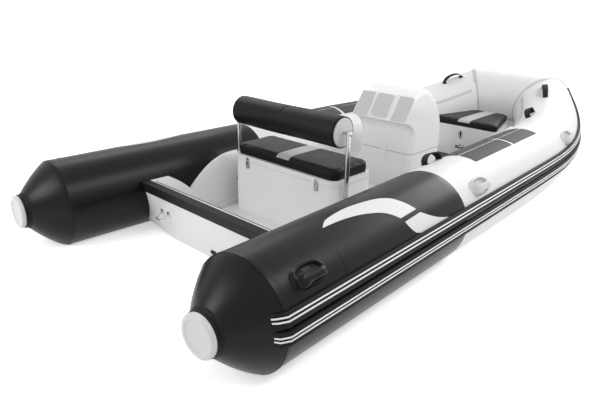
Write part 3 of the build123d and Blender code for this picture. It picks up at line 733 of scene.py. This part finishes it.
def smooth_line(points, count):
    """Points along a smooth curve through the given ones."""
    ends = [points[0], *points, points[-1]]
    out = []
    for k in range(count + 1):
        spot = min(k * (len(points) - 1) / count, len(points) - 1 - MERGE)
        i, t = int(spot), spot - int(spot)
        a, b, c, d = (Vector(ends[i + n]) for n in range(4))
        bow = (a * 2 - b * 5 + c * 4 - d) * t**2 + (b * 3 - a - c * 3 + d) * t**3
        out.append((b * 2 + (c - a) * t + bow) / 2)
    return out


def patch(name, first, second, side, finish, height=PATCH_THICK, across=FLASH_COLUMNS):
    """A thin patch between two curves on the tube."""
    count = PATCH_STEP * (max(len(first), len(second)) - 1)
    a, b = smooth_line(first, count), smooth_line(second, count)

    def place(i, j):
        station, angle = a[i].lerp(b[i], j / across)
        return skin(run_at(station), angle, height, side)

    bm = thicken(grid(count, across, place, PATCH_MAP), height)
    piece = finish_piece(name, bm, finish, "boat")


for word, side in SIDES.items():
    patch(f"flash_{word}", FLASH_TOP, FLASH_FOOT, side, "tube_white")
    patch(f"flash_blade_{word}", BLADE_FORE, BLADE_AFT, side, "tube_white")
    patch(f"name_patch_{word}", BARE_TOP, BARE_FOOT, side, "tape_black", THIN_TAPE)
    patch(
        f"quarter_tape_{word}", BOW_TAPE_TOP, BOW_TAPE_FOOT, side,
        "tape_grey", BOW_TAPE, TAPE_COLUMNS,
    )
    patch(
        f"inner_tape_{word}", AFT_TAPE_TOP, AFT_TAPE_FOOT, side,
        "tape_black", THIN_TAPE, TAPE_COLUMNS,
    )
print("patches", 5 * len(SIDES))

# %% [markdown]
# A tape also goes round the tube at each seam, to cover the joint and keep the air in. Its grid
# is four faces wide, so the middle one of its five lines of points lies on the seam.

# %% Tape the seams
TAPE_MAP = (1.5, 0.04)
TAPE_ACROSS = 4
TAPE_MIDDLE = TAPE_ACROSS // 2
TAPE_EDGE = 0.4
TAIL_TAPE, TAIL_TAPE_WIDTH = 0.228, 0.036
MITRE_TAPE_HALF = 0.017
NOSE_TAPE_SHARE = 0.06


def ring_tape(name, place, finish):
    """A tape round the tube: place gives its points."""
    bm = thicken(grid(AROUND, TAPE_ACROSS, place, TAPE_MAP), PATCH_THICK)
    piece = finish_piece(name, bm, finish, "boat")


def tail_place(side):
    def place(i, j):
        run = TAIL_TAPE + TAIL_TAPE_WIDTH * (j / TAPE_ACROSS - 0.5)
        height = PATCH_THICK * (TAPE_EDGE if j in (0, TAPE_ACROSS) else 1)
        return skin(run, 360 * i / AROUND, height, side)

    return place


def mitre_place(side):
    def place(i, j):
        on_mitre = skin(MITRED, 360 * i / AROUND, PATCH_THICK, side)
        way = bow_way if j < TAPE_MIDDLE else front_way
        step = way * (MITRE_TAPE_HALF * (j - TAPE_MIDDLE) / TAPE_MIDDLE)
        return on_mitre + Vector((step.x, side * step.y, step.z))

    return place


for word, side in SIDES.items():
    ring_tape(f"tail_tape_{word}", tail_place(side), "tape_black")
    ring_tape(f"mitre_tape_{word}", mitre_place(side), "tape_grey")


def nose_place(i, j):
    run = CENTRED - NOSE_TAPE_SHARE * abs(j / TAPE_ACROSS - 0.5) * 2
    return skin(run, 360 * i / AROUND, BOW_TAPE, 1 if j <= TAPE_MIDDLE else -1)


ring_tape("nose_tape", nose_place, "tube_white")
print("seam tapes", 2 * len(SIDES) + 1)

# %% [markdown]
# Each tail ends in a rubber collar and a white moulded cap. Both are round about the tube's
# axis, so a profile is drawn once and spun. The cap's face is dished, with a raised lip.

# %% Turn the collars and caps
SPIN_STEPS = 96
TURNED_CREASE = math.radians(50)


def turned(name, profile, finish, body, origin, way):
    """Spin a profile of (distance, radius) pairs about a line."""
    bm = bmesh.new()
    points = [bm.verts.new((0, radius, distance)) for distance, radius in profile]
    lines = [bm.edges.new(pair) for pair in zip(points, points[1:])]
    bmesh.ops.spin(
        bm, geom=points + lines, cent=(0, 0, 0), axis=(0, 0, 1), angle=2 * math.pi,
        steps=SPIN_STEPS, use_merge=True, dvec=(0, 0, 0),
    )
    bmesh.ops.remove_doubles(bm, verts=bm.verts, dist=MERGE)
    turn = way.to_track_quat("Z", "Y").to_matrix()
    bmesh.ops.rotate(bm, verts=bm.verts, cent=(0, 0, 0), matrix=turn)
    bmesh.ops.translate(bm, verts=bm.verts, vec=origin)
    piece = finish_piece(name, close(bm), finish, body, TURNED_CREASE)
    return piece


CAP_PROFILE = [
    (0.004, 0), (0.004, 0.058), (0.0035, 0.061), (0.001, 0.064), (0, 0.068),
    (0, 0.078), (0.001, 0.0825), (0.004, 0.0865), (0.008, 0.088), (0.020, 0.088),
    (0.022, 0.0865), (0.024, 0.084), (0.024, 0),
]
COLLAR_PROFILE = [
    (0.022, 0), (0.022, 0.086), (0.0235, 0.0905), (0.028, 0.0925),
    (0.033, 0.091), (0.036, 0.0895), (0.039, 0.0925), (0.043, 0.0965),
    (0.048, 0.0985), (0.052, 0.098), (0.052, 0),
]
for word, side in SIDES.items():
    axis = Vector((side_way.x, side * side_way.y, side_way.z))
    tail = row_frame(TAIL_AXIS, side)
    cap = turned(f"cap_{word}", CAP_PROFILE, "white_plastic", "boat", tail, axis)
    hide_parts(f"tail_cap_{word}")
    collar = turned(f"collar_{word}", COLLAR_PROFILE, "rubber", "boat", tail, axis)
    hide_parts(f"tail_collar_{word}")
print("tails turned")

# %% [markdown]
# The lifting handles are rubber mouldings: an oval foot with a raised lip, and a broad bar that
# bridges the hollow. The foot is laid on the tube as a grid of rings, the bar as a section
# that is carried along an arch. The aft pair is black and the others are light grey.

# %% Mould the lifting handles
GRIPS = {
    "aft": (0.385, 43, "handle_black"),
    "middle": (1.757, 40, "handle_rubber"),
    "bow": (3.130, 38, "handle_rubber"),
}
GRIP_HALF = (0.096, 0.048)
GRIP_AROUND = 48
GRIP_LIP = [
    (0, 0.002), (0.35, 0.002), (0.62, 0.002), (0.67, 0.004), (0.72, 0.0110), (0.77, 0.0145),
    (0.82, 0.0140), (0.88, 0.0085), (0.94, 0.0040), (0.98, 0.0025), (1.0, 0.0),
]
BAR_REACH = 0.082
BAR_RISE = 0.030
BAR_HALF = (0.0155, 0.0085)
BAR_BULK = 0.55
BULK_AT, BULK_WIDE = 0.72, 0.28
BAR_LOW = 0.012
BAR_ROWS, BAR_AROUND = 28, 20
GRIP_OVAL, STRAP_OVAL, LATCH_OVAL = 2.6, 2.4, 2.8


def oval(turn, half, power=GRIP_OVAL):
    """A point on a rounded oval: a power of 2 is an ellipse, and more is squarer."""
    c, s = math.cos(turn), math.sin(turn)
    return (
        half[0] * math.copysign(abs(c) ** (2 / power), c),
        half[1] * math.copysign(abs(s) ** (2 / power), s),
    )


def over_tube(spot, along, across, height, side):
    """A point near a spot on the tube: along it, up round it and out from it."""
    station, angle = spot
    return skin(run_at(station + along), angle + math.degrees(across / TUBE_RADIUS), height, side)


def grip(name, spot, finish, side, node):
    def foot(i, j):
        share, height = GRIP_LIP[i]
        along, across = oval(2 * math.pi * j / GRIP_AROUND, GRIP_HALF)
        return over_tube(spot, along * share, across * share, height, side)

    def bar(i, j):
        t = 2 * i / BAR_ROWS - 1
        bulk = 1 + BAR_BULK * math.exp(-(((t + BULK_AT) / BULK_WIDE) ** 2))
        width, thick = oval(2 * math.pi * j / BAR_AROUND, [half * bulk for half in BAR_HALF])
        rise = BAR_RISE * max(0, 1 - abs(t) ** 4) ** 0.5
        return over_tube(spot, t * BAR_REACH, width - BAR_LOW, rise + thick, side)

    bm = close(grid(len(GRIP_LIP) - 1, GRIP_AROUND, foot))
    piece = finish_piece(f"{name}_foot", bm, finish, "boat")
    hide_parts(node)
    bm = close(grid(BAR_ROWS, BAR_AROUND, bar))
    piece = finish_piece(f"{name}_bar", bm, finish, "boat")


for word, side in SIDES.items():
    for where, (station, angle, finish) in GRIPS.items():
        grip(f"grip_{where}_{word}", (station, angle), finish, side, f"grab_handles_{word}")
print("grips", 2 * len(GRIPS))

# %% [markdown]
# The other handles are loops of webbing, sewn to an oval patch of tube fabric. Webbing is a
# flat strap, so the loop is a thin band bent to an arch, with the weave following its length.

# %% Sew on the webbing handles
STRAPS = {"middle": (1.762, 113), "bow": (3.350, 117), "front": (3.790, 100)}
STRAP_REACH = 0.078
STRAP_RISE = 0.050
STRAP_LENGTH = math.pi * (STRAP_REACH + STRAP_RISE) / 2
STRAP_HALF = 0.0175
STRAP_THICK = 0.003
STRAP_CLEAR = 0.004
LOOP_ROWS, LOOP_COLUMNS = 36, 6
TAB_LENGTH = 0.030
TAB_HALF = STRAP_HALF * 1.05
TAB_MAP = (TAB_LENGTH, 0.036)
TAB_HEIGHT, TAB_END_HEIGHT = 0.0055, 0.0035
TAB_ROWS, TAB_COLUMNS = 6, 4
BASE_HALF = (0.118, 0.038)
BASE_AROUND = 40
BASE_RINGS = [(0, 0.0022), (0.6, 0.0022), (0.97, 0.0022), (1.0, 0.0)]


def strap(name, spot, side, node):
    def loop(i, j):
        turn = math.pi * i / LOOP_ROWS
        edge = (2 * j / LOOP_COLUMNS - 1) * STRAP_HALF
        out = STRAP_RISE * math.sin(turn) ** 0.85 + STRAP_CLEAR
        return over_tube(spot, -STRAP_REACH * math.cos(turn), edge, out, side)

    def foot(i, j):
        share, height = BASE_RINGS[i]
        along, across = oval(2 * math.pi * j / BASE_AROUND, BASE_HALF, STRAP_OVAL)
        return over_tube(spot, along * share, across * share, height, side)

    def tab(end):
        def place(i, j):
            along = end * (STRAP_REACH - STRAP_CLEAR + TAB_LENGTH * (i / TAB_ROWS - 0.5))
            height = TAB_HEIGHT if 0 < i < TAB_ROWS else TAB_END_HEIGHT
            return over_tube(spot, along, (2 * j / TAB_COLUMNS - 1) * TAB_HALF, height, side)

        return place

    bm = thicken(grid(LOOP_ROWS, LOOP_COLUMNS, loop, (STRAP_LENGTH, 2 * STRAP_HALF)), STRAP_THICK)
    piece = finish_piece(f"{name}_loop", bm, "webbing", "boat")
    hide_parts(node)
    bm = close(grid(len(BASE_RINGS) - 1, BASE_AROUND, foot))
    piece = finish_piece(f"{name}_patch", bm, "tube_white", "boat")
    for end in (-1, 1):
        bm = thicken(grid(TAB_ROWS, TAB_COLUMNS, tab(end), TAB_MAP), STRAP_THICK)
        piece = finish_piece(f"{name}_tab_{end + 1}", bm, "webbing", "boat")


for word, side in SIDES.items():
    for where, spot in STRAPS.items():
        strap(f"strap_{where}_{word}", spot, side, f"strap_handles_{word}")
print("straps", 2 * len(STRAPS))

# %% [markdown]
# A cushion is vinyl sewn round foam. It starts as a rounded block a little smaller than the
# room it has. A voxel remesh gives it even cloth, and a short simulation with air pressure
# blows it up until its sides belly and its corners pull in. The way that a point may move is
# capped, the face that lies on the lid stays flat, and seams are pressed in afterwards.

# %% Stuff the cushions
VOXEL = 0.006
PRESSURE = 4
CLOTH_QUALITY = 5
CLOTH_FRAMES = 20
SWELL = 0.007
BRIM = 0.012
CROWN = 0.004
GROOVE_DEPTH = 0.0022
GROOVE_HALF = 0.0035
SIDE_SEAM_DROP = 0.004


def bevel(bm, edges, offset, segments):
    bmesh.ops.bevel(
        bm, geom=edges, offset=offset, offset_type="OFFSET", affect="EDGES",
        segments=segments, profile=0.5, material=-1,
    )


def rounded_block(corners, low, high, corner):
    """A closed block over an outline, with rounded upright corners and a rounded top edge."""
    bm = bmesh.new()
    base = bm.faces.new([bm.verts.new((x, y, low)) for x, y in corners])
    made = bmesh.ops.extrude_face_region(bm, geom=[base])["geom"]
    top = [v for v in made if isinstance(v, bmesh.types.BMVert)]
    bmesh.ops.translate(bm, verts=top, vec=(0, 0, high - low))
    bmesh.ops.recalc_face_normals(bm, faces=bm.faces)
    upright = [e for e in bm.edges if abs(e.verts[0].co.z - e.verts[1].co.z) > BRIM]
    bevel(bm, upright, corner, 8)
    rim = [e for e in bm.edges if all(v.co.z > high - MERGE for v in e.verts)]
    bevel(bm, rim, BRIM, 4)
    return bm


def bake(piece):
    """Apply the modifiers of a piece to its mesh."""
    bpy.context.view_layer.update()
    shown = piece.evaluated_get(bpy.context.evaluated_depsgraph_get())
    data = bpy.data.meshes.new_from_object(shown)
    old = piece.data
    for finish in old.materials:
        if finish.name not in data.materials:
            data.materials.append(finish)
    piece.modifiers.clear()
    piece.data = data
    data.name = old.name


def stuffed(piece, low):
    """Blow the piece up with air pressure, and cap how far each point moves."""
    rest = [v.co.copy() for v in piece.data.vertices]
    cloth = piece.modifiers.new("vinyl", "CLOTH")
    cloth.settings.use_pressure = True
    cloth.settings.uniform_pressure_force = PRESSURE
    cloth.settings.effector_weights.gravity = 0
    cloth.settings.quality = CLOTH_QUALITY
    for moment in range(1, CLOTH_FRAMES + 1):
        scene.frame_set(moment)
    shown = piece.evaluated_get(bpy.context.evaluated_depsgraph_get())
    blown = [v.co.copy() for v in shown.to_mesh().vertices]
    shown.to_mesh_clear()
    piece.modifiers.clear()
    scene.frame_set(1)
    for vertex, start, end in zip(piece.data.vertices, rest, blown):
        move = end - start
        if start.z < low + VOXEL:
            move.z = 0
        if move.length > SWELL:
            move *= SWELL / move.length
        vertex.co = start + move


def crowned(piece, low, high):
    """Raise the middle of the top a little, as foam does."""
    middle, half = (low + high) / 2, (high - low) / 2
    for vertex in piece.data.vertices:
        co = vertex.co
        share = max(0, (co.z - low.z) / (high.z - low.z))
        fall_x = max(0, 1 - ((co.x - middle.x) / half.x) ** 2)
        fall_y = max(0, 1 - ((co.y - middle.y) / half.y) ** 4)
        co.z += CROWN * (fall_x * fall_y) * share


def press_seams(piece, seams):
    """Press grooves where seams says how far a point is from the nearest seam."""
    data = piece.data
    normals = [v.normal.copy() for v in data.vertices]
    for vertex, normal in zip(data.vertices, normals):
        gap = seams(vertex.co)
        vertex.co -= normal * GROOVE_DEPTH * math.exp(-((gap / GROOVE_HALF) ** 2))


print("cushion tools ready")

# %% [markdown]
# Both cushions are black, with a light grey stripe that runs fore and aft over the middle. It is
# a mask in the vinyl, which takes in what lies near the centreline and above the side seam. The
# seat's outline is a rectangle, and the bow's narrows forward to fit between the tubes.

# %% Make the two cushions
INSET = 0.004
GREY_VINYL = (0.42, 0.42, 0.425)
SIDE_SEAM = 0.010
STRIPE_FLOOR = 0.012
BOW_FORE_HALF = 0.147


def cushion(name, node, fore_half, corner, stripe, body):
    low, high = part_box(node)
    full = high.z - SWELL
    MADE[f"{name}_vinyl"] = vinyl(
        f"{name} vinyl", DEEP_BLACK, SCUFFED_BLACK, (stripe, full - STRIPE_FLOOR, GREY_VINYL)
    )
    aft, fore, aft_half = low.x + INSET, high.x - INSET, high.y - INSET
    fore_half = fore_half or aft_half
    corners = [(aft, -aft_half), (fore, -fore_half), (fore, fore_half), (aft, aft_half)]
    bm = rounded_block(corners, low.z, full, corner)
    piece = finish_piece(name, bm, f"{name}_vinyl", body)
    even = piece.modifiers.new("even cloth", "REMESH")
    even.mode = "VOXEL"
    even.voxel_size = VOXEL
    bake(piece)
    stuffed(piece, low.z)
    crowned(piece, low, high)
    finer = piece.modifiers.new("finer", "SUBSURF")
    finer.levels = finer.render_levels = 1
    bake(piece)
    top = full - SIDE_SEAM

    def seams(co):
        if co.z > top:
            return abs(abs(co.y) - stripe)
        return abs(co.z - top + SIDE_SEAM_DROP)

    press_seams(piece, seams)
    piece.data.polygons.foreach_set("use_smooth", [True] * len(piece.data.polygons))
    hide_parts(node)
    print(name, len(piece.data.polygons), "faces")


cushion("seat_pad", "seat_cushion", None, 0.048, 0.049, "seat_top")
cushion("bow_pad", "bow_cushion", BOW_FORE_HALF, 0.040, 0.050, "bow_top")

# %% [markdown]
# The bolster is a roll of foam in vinyl, sewn in two halves with a seam round its middle and a
# welt at each end. Its grid runs round the roll, with the seam drawn in and faint creases near
# the ends, where the cover is pulled over the discs. The white discs carry the bolts.

# %% Roll the bolster
low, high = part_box("bolster")
ROLL = (low + high) / 2
ROLL_HALF = (high.y - low.y) / 2
ROLL_SLACK = 0.0015
ROLL_RADIUS = (high.z - low.z) / 2 - ROLL_SLACK
ROLL_END = 0.010
ROLL_ROWS, ROLL_AROUND = 120, 88
SEAM_DEPTH, SEAM_HALF = 0.003, 0.005
CREASE_DEPTH, CREASE_FADE = 0.0008, 0.05
CREASES, CREASE_SWAY = 17, 1.3
SAG = 0.0012


def roll_place(i, j):
    if i == 0 or i == ROLL_ROWS:
        return Vector((ROLL.x, ROLL.y + math.copysign(ROLL_HALF, i - 1), ROLL.z))
    t = (i - 1) / (ROLL_ROWS - 2) * 2 - 1
    along = t * ROLL_HALF
    turn = 2 * math.pi * j / ROLL_AROUND
    room = ROLL_HALF - abs(along)
    radius = ROLL_RADIUS
    if room < ROLL_END:
        radius -= ROLL_END * (1 - math.sqrt(max(0, 1 - (1 - room / ROLL_END) ** 2)))
    radius -= SEAM_DEPTH * math.exp(-((along / SEAM_HALF) ** 2))
    creases = math.sin(turn * CREASES + CREASE_SWAY * math.sin(3 * turn))
    radius += CREASE_DEPTH * creases * math.exp(-room / CREASE_FADE)
    radius += SAG * math.sin(turn * 3 + along * 9) * (1 - abs(t) ** 4)
    return ROLL + Vector((radius * math.cos(turn), along, radius * math.sin(turn)))


roll = close(grid(ROLL_ROWS, ROLL_AROUND, roll_place))
roll = finish_piece("bolster_roll", roll, "vinyl_black", "backrest")
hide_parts("bolster")
print("bolster", ROLL_HALF * 2)

# %% [markdown]
# What holds the roll is turned as well: a white disc at each end, the welt that hides the edge of
# the cover, and a domed bolt through the post.

# %% Turn the bolster's ends
DISC_GAP = 0.0005
POST_FACE = 0.4325
DISC_PROFILE = [
    (0, 0), (0, 0.0755), (0.0035, 0.0755), (0.0055, 0.0735),
    (0.0062, 0.0700), (0.0062, 0.020), (0.0066, 0),
]
WELT_PROFILE = [
    (-0.003, 0.0750), (0.0015, 0.0757), (0.0035, 0.0775), (0.0035, 0.0800),
    (0.0015, 0.0818), (-0.003, 0.0822), (-0.003, 0.0750),
]
BOLT_PROFILE = [
    (0, 0), (0, 0.0105), (0.003, 0.0105), (0.0055, 0.0085), (0.0068, 0.005), (0.0072, 0),
]
ENDS = (
    ("disc", DISC_PROFILE, "white_plastic", ROLL_HALF + DISC_GAP),
    ("welt", WELT_PROFILE, "vinyl_black", ROLL_HALF + DISC_GAP),
    ("bolt", BOLT_PROFILE, "stainless", POST_FACE),
)
for word, side in SIDES.items():
    out = Vector((0, side, 0))
    for what, profile, finish, reach in ENDS:
        spot = Vector((ROLL.x, side * reach, ROLL.z))
        end = turned(f"bolster_{what}_{word}", profile, finish, "backrest", spot, out)
        if what == "disc":
            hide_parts("bolster_ends")
print("bolster ends", len(ENDS) * len(SIDES))

# %% [markdown]
# The seat lid is held down by two steel toggle latches. Each has a plate that is screwed to the
# box, a lever that folds down over it and a hook on the lid, so its two halves ride on two
# bodies. Small bevelled blocks and a bent wire make them.

# %% Fit the seat latches
WIRE_SIDES = 10
LATCH_WIRE = 0.0016
LATCH_BLOCKS = [
    ((0.0025, 0.030, 0.040), (-0.00125, 0, 0), 0.0007),
    ((0.0045, 0.022, 0.034), (-0.0055, 0, -0.004), 0.0016),
    ((0.003, 0.012, 0.008), (-0.0075, 0, -0.018), 0.0012),
]
LATCH_LOOP = [
    (-0.0055, -0.0115, -0.006), (-0.0055, -0.0115, 0.017), (-0.0055, -0.0069, 0.021),
    (-0.0055, 0.0069, 0.021), (-0.0055, 0.0115, 0.017), (-0.0055, 0.0115, -0.006),
]
KEEPER_BLOCKS = [
    ((0.003, 0.026, 0.020), (-0.0015, 0, 0), 0.0007),
    ((0.006, 0.016, 0.004), (-0.005, 0, -0.004), 0.0012),
]


def block(bm, size, at, edge):
    made = bmesh.ops.create_cube(bm, size=1)["verts"]
    bmesh.ops.scale(bm, verts=made, vec=size)
    bmesh.ops.translate(bm, verts=made, vec=at)
    bevel(bm, list({e for v in made for e in v.link_edges}), edge, 2)


def blocks(spot, rows):
    """A few bevelled blocks, given by their size, their place from the spot and their bevel."""
    bm = bmesh.new()
    for size, step, edge in rows:
        block(bm, size, spot + Vector(step), edge)
    return bm


def bent_wire(bm, points, radius):
    """A round wire along a line of points."""
    count = len(points) - 1

    def place(i, j):
        way = (points[min(i + 1, count)] - points[max(i - 1, 0)]).normalized()
        across = way.orthogonal() if abs(way.x) > 0.99 else way.cross(Vector((1, 0, 0)))
        first = across.normalized()
        second = way.cross(first)
        turn = 2 * math.pi * j / WIRE_SIDES
        return points[i] + (first * math.cos(turn) + second * math.sin(turn)) * radius

    wire = close(grid(count, WIRE_SIDES, place))
    data = bpy.data.meshes.new("wire")
    wire.to_mesh(data)
    wire.free()
    bm.from_mesh(data)
    bpy.data.meshes.remove(data)


def wall_spot(node, side):
    """Where the latch part on one side meets the wall that carries it."""
    low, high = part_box(node)
    ys = [v.co.y for v in NODES[node].data.vertices if v.co.y * side > 0]
    return Vector((high.x, (min(ys) + max(ys)) / 2, (low.z + high.z) / 2))


for word, side in SIDES.items():
    spot = wall_spot("seat_latches", side)
    bm = blocks(spot, LATCH_BLOCKS)
    bent_wire(bm, [spot + Vector(step) for step in LATCH_LOOP], LATCH_WIRE)
    latch = finish_piece(f"seat_latch_{word}", bm, "stainless", "boat")
    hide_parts("seat_latches")
    bm = blocks(wall_spot("seat_keepers", side), KEEPER_BLOCKS)
    keeper = finish_piece(f"seat_keeper_{word}", bm, "stainless", "seat_top")
    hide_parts("seat_keepers")
print("latches", len(SIDES))

# %% [markdown]
# A towing eye is a steel rod bent to a D, which stands out from the transom on two feet. The
# transom leans, so its own up and out directions come from the rake.

# %% Bend the towing eyes
RAKE = math.radians(12)
EYE_OUT = Vector((-math.cos(RAKE), 0, -math.sin(RAKE)))
EYE_UP = Vector((-math.sin(RAKE), 0, math.cos(RAKE)))
EYE_HALF, EYE_REACH, EYE_ROD = 0.030, 0.052, 0.0042
EYE_APART, EYE_SUNK, EYE_DROOP = 0.352, 0.004, 0.35
EYE_FULLNESS, EYE_POWER = 1.25, 0.7
EYE_PAD, EYE_PAD_OUT, EYE_PAD_EDGE = (0.005, 0.022, 0.026), 0.002, 0.0015
BEND_POINTS = 24
eye_low, eye_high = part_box("stern_eyes")
eye_foot = Vector((eye_high.x - EYE_SUNK, 0, (eye_low.z + eye_high.z) / 2))
for word, side in SIDES.items():
    foot = eye_foot + Vector((0, side * EYE_APART, 0))
    bm = bmesh.new()
    bend = []
    for k in range(BEND_POINTS + 1):
        turn = math.pi * k / BEND_POINTS
        reach = EYE_REACH * min(1, EYE_FULLNESS * math.sin(turn) ** EYE_POWER)
        along = Vector((0, EYE_HALF * math.cos(turn), 0))
        bend.append(foot + along + EYE_OUT * reach - EYE_UP * reach * EYE_DROOP)
    bent_wire(bm, bend, EYE_ROD)
    for end in (-1, 1):
        pad = foot + Vector((0, end * EYE_HALF, 0)) + EYE_OUT * EYE_PAD_OUT
        block(bm, EYE_PAD, pad, EYE_PAD_EDGE)
    eye = finish_piece(f"towing_eye_{word}", bm, "stainless", "boat")
    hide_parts("stern_eyes")
print("eyes", eye_foot)

# %% [markdown]
# The bow lid closes on a slide latch: an oval plate with a dark pull in a recess. The small
# steel fitting below it is a box with a ring. Both are screwed to the locker's aft face.

# %% Fit the bow latch and its fitting
LATCH_HALF = (0.020, 0.037)
LATCH_AROUND = 48
LATCH_RINGS = [
    (0, 0.0045), (0.55, 0.0045), (0.62, 0.0075), (0.86, 0.0075), (0.96, 0.006), (1.0, 0.0),
]
PULL_BLOCKS = [
    ((0.006, 0.013, 0.020), (-0.0075, 0, 0.009), 0.0025),
    ((0.004, 0.009, 0.026), (-0.0062, 0, -0.011), 0.0015),
]
FITTING_BLOCKS = [
    ((0.003, 0.070, 0.046), (-0.0015, 0, 0), 0.0012),
    ((0.014, 0.030, 0.026), (-0.009, 0.012, 0), 0.003),
]
RING_FOOT = Vector((-0.006, -0.014, -0.004))
RING_REACH, RING_HALF, RING_ROD = 0.018, 0.016, 0.0028


def face_spot(node):
    """The middle of the face that carries a fitting on the centreline."""
    low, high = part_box(node)
    return Vector((high.x, 0, (low.z + high.z) / 2))


def latch_plate(i, j):
    share, out = LATCH_RINGS[i]
    across, up = oval(2 * math.pi * j / LATCH_AROUND, LATCH_HALF, LATCH_OVAL)
    return latch_spot + Vector((-out, across * share, up * share))


latch_spot, ring_spot = face_spot("bow_latch"), face_spot("bow_ring")
plate = close(grid(len(LATCH_RINGS) - 1, LATCH_AROUND, latch_plate))
plate = finish_piece("bow_latch_plate", plate, "panel_grey", "boat")
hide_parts("bow_latch")
pull = finish_piece("bow_latch_pull", blocks(latch_spot, PULL_BLOCKS), "rubber", "boat")
bm = blocks(ring_spot, FITTING_BLOCKS)
ring = []
for k in range(BEND_POINTS + 1):
    turn = math.pi * k / BEND_POINTS
    step = Vector((-RING_REACH * math.sin(turn), RING_HALF * math.cos(turn), 0))
    ring.append(ring_spot + RING_FOOT + step)
bent_wire(bm, ring, RING_ROD)
fitting = finish_piece("bow_fitting", bm, "stainless", "boat")
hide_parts("bow_ring")
print("bow fittings at", latch_spot, ring_spot)

# %% [markdown]
# Thin dark lines show where mouldings meet. A flat dark band is laid round the console and round
# the seat box at their seams: it is painted shade, for the shade in the gap. A narrow white ledge
# runs inside the transom, with a black strip of painted shade behind it for the recess's shade.

# %% Paint the shade in the seams and the transom recess
SHADE_BAND_PROUD, SHADE_BAND_SUNK = 0.0006, 0.0004
CORNER_STEPS = 8


def shade_band(name, node, corner, drop, height, finish):
    """A thin band round the top of a block with rounded corners, painted shade of the gap at its
    seam.
    """
    low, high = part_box(node)
    foot = high.z - drop - height / 2
    path = []
    for quarter, (x, y) in enumerate(
        ((high.x, high.y), (low.x, high.y), (low.x, low.y), (high.x, low.y))
    ):
        x -= math.copysign(corner, x - (low.x + high.x) / 2)
        y -= math.copysign(corner, y)
        for k in range(CORNER_STEPS + 1):
            turn = math.pi / 2 * (quarter + k / CORNER_STEPS)
            path.append((x, y, math.cos(turn), math.sin(turn)))
    section = [(0, -SHADE_BAND_SUNK), (0, SHADE_BAND_PROUD), (height, SHADE_BAND_PROUD), (height, -SHADE_BAND_SUNK)]

    def place(i, j):
        x, y, fore, port = path[i % len(path)]
        up, out = section[j % len(section)]
        return Vector((x + fore * (corner + out), y + port * (corner + out), foot + up))

    band = close(grid(len(path), len(section), place))
    band = finish_piece(name, band, finish, "boat", smooth=False)


# Painted shade: dark bands where the gaps at these seams fall into shade.
shade_band("console_seam_shade", "console_base", 0.045, 0.001, 0.002, "rubber")
shade_band("seat_seam_shade", "seat_box", 0.050, 0.0008, 0.0015, "tape_grey")

LEDGE_HALF, LEDGE_DROP, LEDGE_EDGE = 0.500, 0.008, 0.002
# The first row is the white ledge; the second is a thin black strip of painted shade for the
# recess behind it.
LEDGE_AND_SHADE_STRIP = ((0.024, 0.018, "hull_white"), (0.006, 0.016, "rubber"))
_, trim_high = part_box("transom_trim")
fore = trim_high.x
for number, (deep, tall, finish) in enumerate(LEDGE_AND_SHADE_STRIP):
    bm = bmesh.new()
    spot = (fore + deep / 2, 0, trim_high.z - LEDGE_DROP - tall / 2)
    block(bm, (deep, 2 * LEDGE_HALF, tall), spot, LEDGE_EDGE)
    ledge = finish_piece(f"transom_ledge_and_shade_{number}", bm, finish, "boat")
    fore += deep
print("transom ledge up to", fore)
